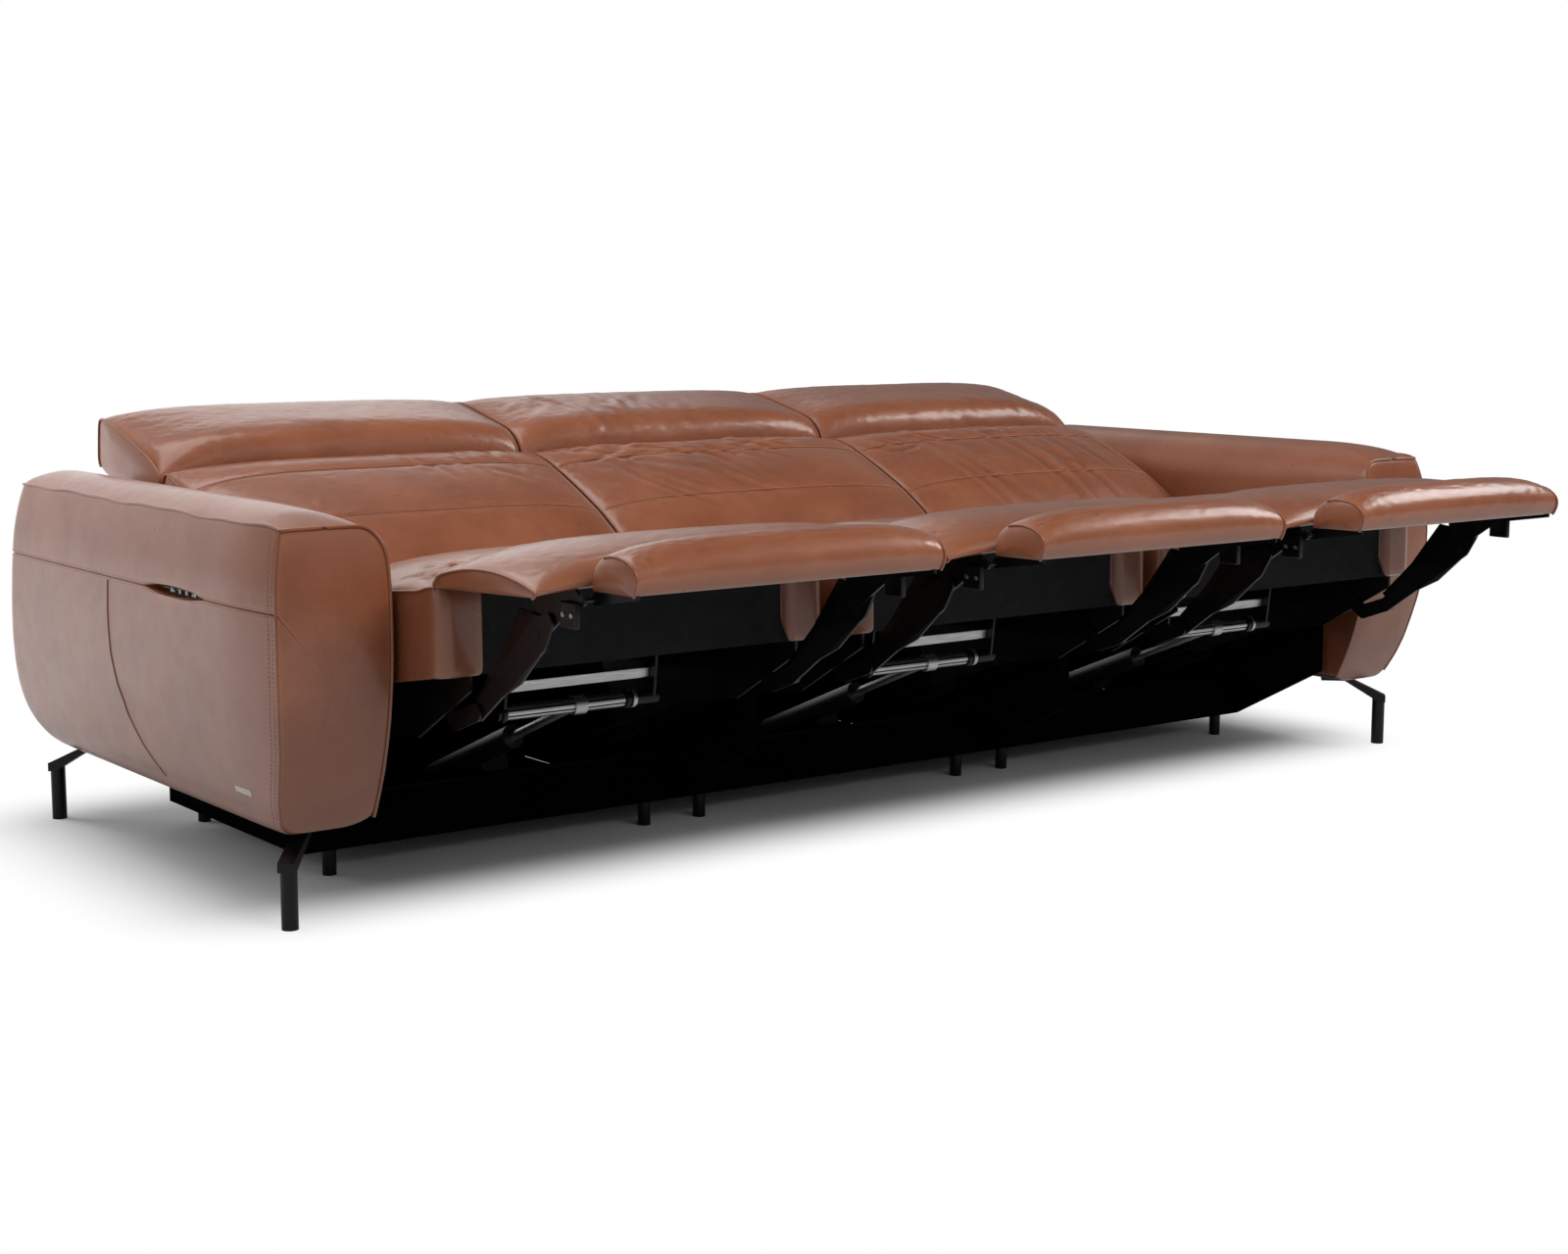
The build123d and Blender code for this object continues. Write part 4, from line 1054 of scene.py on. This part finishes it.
def sink_broad_faces(piece, axis, rim, depth):
    """Insets the faces across an axis by a rim and sinks them by a depth, in millimetres."""
    bpy.ops.object.mode_set(mode="EDIT")
    bpy.ops.mesh.select_mode(type="FACE")
    bpy.ops.mesh.select_all(action="DESELECT")
    bpy.ops.object.mode_set(mode="OBJECT")
    for face in piece.data.polygons:
        face.select = abs(face.normal[axis]) > 0.9
    bpy.ops.object.mode_set(mode="EDIT")
    bpy.ops.mesh.inset(thickness=rim / 1000, depth=-depth / 1000, use_individual=True)
    bpy.ops.object.mode_set(mode="OBJECT")


def make_head():
    """Pattern of a round head along X, 20 mm across and 10 mm deep, dished on both sides."""
    bpy.ops.object.select_all(action="DESELECT")
    bpy.ops.mesh.primitive_cylinder_add(vertices=24, radius=0.010, depth=0.010, location=(0, 0, 0))
    piece = bpy.context.active_object
    sink_broad_faces(piece, 2, 3.5, 2.0)
    piece.rotation_euler = (0, math.pi / 2, 0)
    return settle_place(piece, "head_pattern", zinc, 1.2)


def link_plate(name, x, outline, thick, material):
    """Stamped plate across X with the corners of an outline in (y, z), its face sunk inside a rolled rim."""
    bpy.ops.object.select_all(action="DESELECT")
    bpy.ops.mesh.primitive_circle_add(vertices=len(outline), radius=0.1, fill_type="NGON", location=(0, 0, 0))
    piece = bpy.context.active_object
    place(piece, at([(x - thick / 2, y, z) for y, z in outline]))
    bpy.ops.object.mode_set(mode="EDIT")
    bpy.ops.mesh.select_all(action="SELECT")
    bpy.ops.mesh.extrude_region_move(TRANSFORM_OT_translate={"value": (thick / 1000, 0, 0)})
    bpy.ops.mesh.inset(thickness=0.006, depth=-0.0012)
    bpy.ops.mesh.select_all(action="SELECT")
    bpy.ops.mesh.normals_make_consistent(inside=False)
    bpy.ops.object.mode_set(mode="OBJECT")
    return settle_place(piece, name, material, 0.6)


def joined(name, pieces):
    bpy.ops.object.select_all(action="DESELECT")
    for piece in pieces:
        piece.select_set(True)
    bpy.context.view_layer.objects.active = pieces[0]
    bpy.ops.object.join()
    pieces[0].name = name
    return pieces[0]


def copied(piece, name, shift, scale=(1.0, 1.0, 1.0), material=None):
    """Copy of a modelled piece with a mesh of its own, scaled about the origin and shifted in millimetres."""
    copy = piece.copy()
    copy.data = piece.data.copy()
    copy.name = name
    bpy.context.collection.objects.link(copy)
    copy.data.transform(Matrix.Translation(Vector(shift) / 1000) @ Matrix.Diagonal((*scale, 1.0)))
    if material:
        copy.data.materials[0] = material
    return copy


def head_at(middle, radius, depth, material=None):
    """Copy of the round head at a place, with its own radius and depth."""
    shift = (middle[0], middle[1] + FEET, middle[2])
    return copied(head_pattern, "head", shift, (depth / 10, radius / 10, radius / 10), material)


def make_dust_cover(name):
    """Stretched cloth under a seat box, sagging a little between its boards."""
    bpy.ops.object.select_all(action="DESELECT")
    bpy.ops.mesh.primitive_grid_add(x_subdivisions=24, y_subdivisions=18, size=1.0, location=(0, 0, 0))
    piece = bpy.context.active_object
    piece.name = name
    width, depth = 768.0, 564.0
    middle, height, sag = 273.0, 45.5, 7.0
    x, y = places(piece)[:, :2].T
    hollow = (1 - (2 * x) ** 4) * (1 - (2 * y) ** 4)
    place(piece, at(np.column_stack([x * width, middle + y * depth, height - sag * hollow])))
    bpy.ops.object.shade_smooth()
    piece.data.materials.append(lining)
    return piece


LINK_PLATE = ((-640.0, 545.0), (-708.0, 537.0), (-702.0, 480.0), (-640.0, 425.0),
              (-520.0, 366.0), (-497.0, 384.0), (-570.0, 455.0))
# Heads on the links: the body they are on, (y, z), distance from the seat's middle, radius
LINK_HEADS = (
    ("lower_link", (-507.0, 362.0), 309.6, 8.0),
    ("upper_link", (-690.0, 505.0), 315.4, 9.0),
    ("upper_link", (-600.0, 436.0), 309.6, 4.0),
    ("upper_link", (-712.0, 524.0), 309.6, 4.0),
    ("upper_link", (-655.0, 478.0), 309.6, 4.0),
    ("carriage", (-317.0, 422.0), 315.5, 8.0),
    ("carriage", (-230.0, 330.0), 321.6, 5.0),
    ("carriage", (-420.0, 385.0), 321.6, 5.0),
    ("carriage", (-150.0, 360.0), 321.6, 5.0),
    ("footrest", (-812.0, 573.0), 309.4, 7.0),
    ("footrest", (-690.0, 505.0), 303.6, 9.0),
    ("footrest", (-690.0, 570.0), 303.6, 4.5),
    ("footrest", (-770.0, 574.0), 303.6, 4.5),
)
# One of each piece is modelled at the middle of the sofa and copied to every place.
head_pattern = make_head()
plate_pattern = link_plate("plate_pattern", 0.0, LINK_PLATE, 4.6, black_steel)
housing_pattern = block("housing_pattern", (0.0, -787.0, 549.0), (10.0, 44.0, 40.0), black_steel, 2.5)
strap_turn = (math.radians(6), 0, 0)
strap_pattern = block("strap_pattern", (0.0, -300.0, 357.0), (298.0, 4.0, 18.0), zinc, 1.0, strap_turn)
sleeve_line = np.array([at((x, -300.0, 313.0)) for x in (-148.0, -60.0, 30.0, 92.0)])
sleeve_pattern = tube("sleeve_pattern", sleeve_line, 13.4, zinc)
cover_pattern = make_dust_cover("dust_cover_pattern")
patterns = (head_pattern, plate_pattern, housing_pattern, strap_pattern, sleeve_pattern, cover_pattern)

for seat, centre in SEATS.items():
    under_cover = copied(cover_pattern, f"{seat}_dust_cover", (centre, 0, 0))
    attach(under_cover, "base")
    heads = {"lower_link": [], "upper_link": [], "carriage": [], "footrest": []}
    for side, end in ((-1, "left"), (1, "right")):
        for body, (y, z), x, radius in LINK_HEADS:
            heads[body].append(head_at((centre + side * x, y, z), radius, 0.8, black_steel))
        housing = copied(housing_pattern, f"{seat}_{end}_hinge_housing", (centre + side * 314.5, 0, 0))
        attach(housing, f"{seat}_footrest")
        plate = copied(plate_pattern, f"{seat}_{end}_link_plate", (centre + side * 312.5, 0, 0))
        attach(plate, f"{seat}_upper_link")
        for step in (-12.0, 12.0):
            heads["footrest"].append(head_at((centre + side * 319.8, -787.0 + step, 549.0), 4.0, 1.4))
    for body, group in heads.items():
        piece = joined(f"{seat}_{body}_rivets", group)
        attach(piece, f"{seat}_{body}")
    collars = [head_at((centre + x, -300.0, 313.0), 16.5, 9.0, material)
               for x, material in ((98.0, black_steel), (112.0, zinc), (-152.0, black_steel))]
    for piece in (
        joined(f"{seat}_drive_collars", collars),
        copied(sleeve_pattern, f"{seat}_drive_sleeve", (centre, 0, 0)),
        copied(strap_pattern, f"{seat}_hanger_strap", (centre, 0, 0)),
    ):
        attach(piece, f"{seat}_carriage")

for pattern in patterns:
    bpy.data.objects.remove(pattern)

# Control icons in the left arm and the bare tag below them
BUTTON_PITCH = 30.0
BUTTON_FACE = -1391.1
BUTTON_HEIGHT = 525.0
ICON_DEPTH = 0.3
# Blocks of each icon: place of the middle, then width and height
ICONS = (
    (((-3.0, 0.0), (10.0, 7.2)), ((7.0, -1.6), (5.0, 3.8))),
    (((1.0, 0.0), (7.0, 7.6)),),
    (((-1.0, 0.0), (7.0, 7.6)),),
    (((3.0, 0.0), (10.0, 7.2)), ((-7.0, -1.6), (5.0, 3.8))),
)
for number, shapes in enumerate(ICONS):
    middle = SLIT_MIDDLE + (number - 1.5) * BUTTON_PITCH
    icons = [block("icon", (BUTTON_FACE, middle + y, BUTTON_HEIGHT + z), (ICON_DEPTH, *size), print_ink, 0.1)
             for (y, z), size in shapes]
    piece = joined(f"button_{number + 1}_icon", icons)
    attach(piece, f"button_{number + 1}_body")

tag_spots, tag_ways = onto_arm(arms["left_arm"], -1, [(-207.0, 218.0)])
tag = block("bare_tag", (0.0, 0.0, 0.0), (1.6, 60.0, 11.0), nickel, 0.4)
tag.data.transform(Matrix.Translation(-Vector(at((0.0, 0.0, 0.0)))))
tag.data.transform(Vector((-1, 0, 0)).rotation_difference(Vector(tag_ways[0])).to_matrix().to_4x4())
tag.data.transform(Matrix.Translation(Vector(tag_spots[0])))
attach(tag, "base")

# Studio: pale floor, white backdrop, soft light and the camera of the photo

SMOOTH = {"interpolation_type": "SMOOTHSTEP"}
TIMES = {"operation": "MULTIPLY"}
LESS = {"operation": "SUBTRACT"}
LARGER = {"operation": "MAXIMUM"}
SHADOW_MIDDLE = (-0.045, 0.33, 0.0)
SHADOW_HALF = (1.255, 0.375, 0.0)
SHADOW_FADE = 0.34


def make_floor_paint():
    """Matt studio floor: white everywhere but close to the sofa, which keeps its shadow."""
    m, where = new_material("matt_studio_floor")
    rays = add(m, "LightPath").outputs
    seen = add(m, "Math", LARGER, _0=rays["Is Camera Ray"], _1=rays["Is Transmission Ray"]).outputs[0]
    # Distance outside a box on the floor under the sofa
    beside = add(m, "VectorMath", LESS, _0=where, _1=SHADOW_MIDDLE).outputs[0]
    beside = add(m, "VectorMath", {"operation": "ABSOLUTE"}, _0=beside).outputs[0]
    beside = add(m, "VectorMath", LESS, _0=beside, _1=SHADOW_HALF).outputs[0]
    beside = add(m, "VectorMath", LARGER, _0=beside, _1=(0.0, 0.0, 0.0)).outputs[0]
    beside = add(m, "VectorMath", {"operation": "LENGTH"}, _0=beside).outputs["Value"]
    fade = add(m, "MapRange", SMOOTH, Value=beside, From_Max=SHADOW_FADE).outputs["Result"]
    direct = add(m, "Math", TIMES, _0=seen, _1=fade).outputs[0]
    # The leather mirrors a floor that is white far behind the sofa and half as pale elsewhere.
    depth = add(m, "SeparateXYZ", Vector=where).outputs["Y"]
    behind = add(m, "MapRange", SMOOTH, Value=depth, From_Min=0.7, From_Max=1.8).outputs["Result"]
    aslant = {"operation": "DOT_PRODUCT"}
    sweep = add(m, "VectorMath", aslant, _0=where, _1=(1.0, 0.55, 0.0)).outputs["Value"]
    sweep = add(m, "MapRange", SMOOTH, Value=sweep, From_Min=-1.55, From_Max=-0.85, To_Min=0.12)
    behind = add(m, "Math", TIMES, _0=behind, _1=sweep.outputs["Result"]).outputs[0]
    ahead = add(m, "Math", TIMES, _0=fade, _1=0.5).outputs[0]
    pale = add(m, "Math", LARGER, _0=behind, _1=ahead).outputs[0]
    mirrored = add(m, "Math", TIMES, _0=rays["Is Glossy Ray"], _1=pale).outputs[0]
    white = add(m, "Math", LARGER, _0=direct, _1=mirrored).outputs[0]
    dark, light = (0.3, 0.3, 0.3, 1.0), (0.6, 0.6, 0.6, 1.0)
    grey = add(m, "Mix", {"data_type": "RGBA"}, _0=seen, _6=dark, _7=light).outputs[2]
    matt = add(m, "BsdfDiffuse", Color=grey).outputs[0]
    glow = add(m, "Emission", Color=linear("#ffffff"), Strength=1.0).outputs[0]
    both = add(m, "MixShader", _0=white, _1=matt, _2=glow).outputs[0]
    add(m, "OutputMaterial", Surface=both)
    return m


bpy.ops.object.select_all(action="DESELECT")
bpy.ops.mesh.primitive_plane_add(size=40.0, location=(0, 0, 0))
floor = bpy.context.active_object
floor.name = "studio_floor"
floor.data.materials.append(make_floor_paint())

# Where the room that the leather mirrors turns dim: direction, from, to, level before, level after
ROOM_GATES = (
    ("Y", -0.1, 0.6, 0.25, 1.0),
    ("Z", 0.42, 0.62, 1.0, 0.2),
    ("X", -0.45, -0.33, 0.2, 1.0),
    ("X", 0.44, 0.62, 1.0, 0.18),
)


def make_studio():
    """White room, bright behind the sofa and dim before, above and beside it where the leather mirrors it."""
    studio = bpy.data.worlds.new("studio")
    studio.use_nodes = True
    studio.node_tree.nodes.clear()
    rays = add(studio, "LightPath").outputs
    seen = add(studio, "Math", LARGER, _0=rays["Is Camera Ray"], _1=rays["Is Transmission Ray"]).outputs[0]
    way = add(studio, "SeparateXYZ", Vector=add(studio, "TexCoord").outputs["Generated"]).outputs
    backdrop = 1.0
    for axis, start, end, before, after in ROOM_GATES:
        gate = add(studio, "MapRange", SMOOTH, Value=way[axis], From_Min=start, From_Max=end,
                   To_Min=before, To_Max=after).outputs["Result"]
        backdrop = add(studio, "Math", TIMES, _0=backdrop, _1=gate).outputs[0]
    fill = add(studio, "MapRange", SMOOTH, Value=way["Y"], From_Min=-0.6, From_Max=0.6,
               To_Min=0.5, To_Max=0.6).outputs["Result"]
    blend = {"data_type": "FLOAT"}
    felt = add(studio, "Mix", blend, _0=rays["Is Glossy Ray"], _2=fill, _3=backdrop).outputs[0]
    level = add(studio, "Mix", blend, _0=seen, _2=felt, _3=1.0).outputs[0]
    glow = add(studio, "Background", Color=linear("#ffffff"), Strength=level).outputs[0]
    add(studio, "OutputWorld", Surface=glow)
    return studio


bpy.context.scene.world = make_studio()


def soft_box(name, spot, aim, size, watts, mirrored):
    """A soft lamp. One that is not mirrored lights the leather without showing in it."""
    lamp = bpy.data.lights.new(name, "AREA")
    lamp.shape = "RECTANGLE"
    lamp.size, lamp.size_y = size
    lamp.energy = watts
    box = bpy.data.objects.new(name, lamp)
    box.location = spot
    box.visible_glossy = mirrored
    box.rotation_euler = (Vector(aim) - Vector(spot)).to_track_quat("-Z", "Y").to_euler()
    bpy.context.collection.objects.link(box)


soft_box("left_soft_box", (-3.2, 4.0, 1.5), (-1.2, 0.2, 0.5), (2.4, 2.0), 120.0, False)
soft_box("overhead_soft_box", (-1.6, 0.7, 3.0), (-1.0, 0.3, 0.4), (3.0, 2.0), 40.0, True)
soft_box("front_soft_box", (0.2, -4.2, 3.4), (0.0, -0.4, 0.4), (3.0, 2.0), 120.0, False)
soft_box("right_soft_box", (4.0, -1.4, 3.4), (0.6, -0.7, 0.5), (2.0, 1.6), 60.0, True)

lens = bpy.data.cameras.new("photo_camera")
lens.sensor_width = 36.0
lens.sensor_fit = "HORIZONTAL"
lens.lens = 54.988
lens.clip_end = 100.0
camera = bpy.data.objects.new("photo_camera", lens)
camera.location = (-2.98371, -3.776267, 1.028652)
camera.rotation_euler = (math.radians(90.0 - 7.998), 0.0, math.radians(-36.875))
bpy.context.collection.objects.link(camera)
bpy.context.scene.camera = camera
bpy.context.scene.view_settings.view_transform = "Standard"
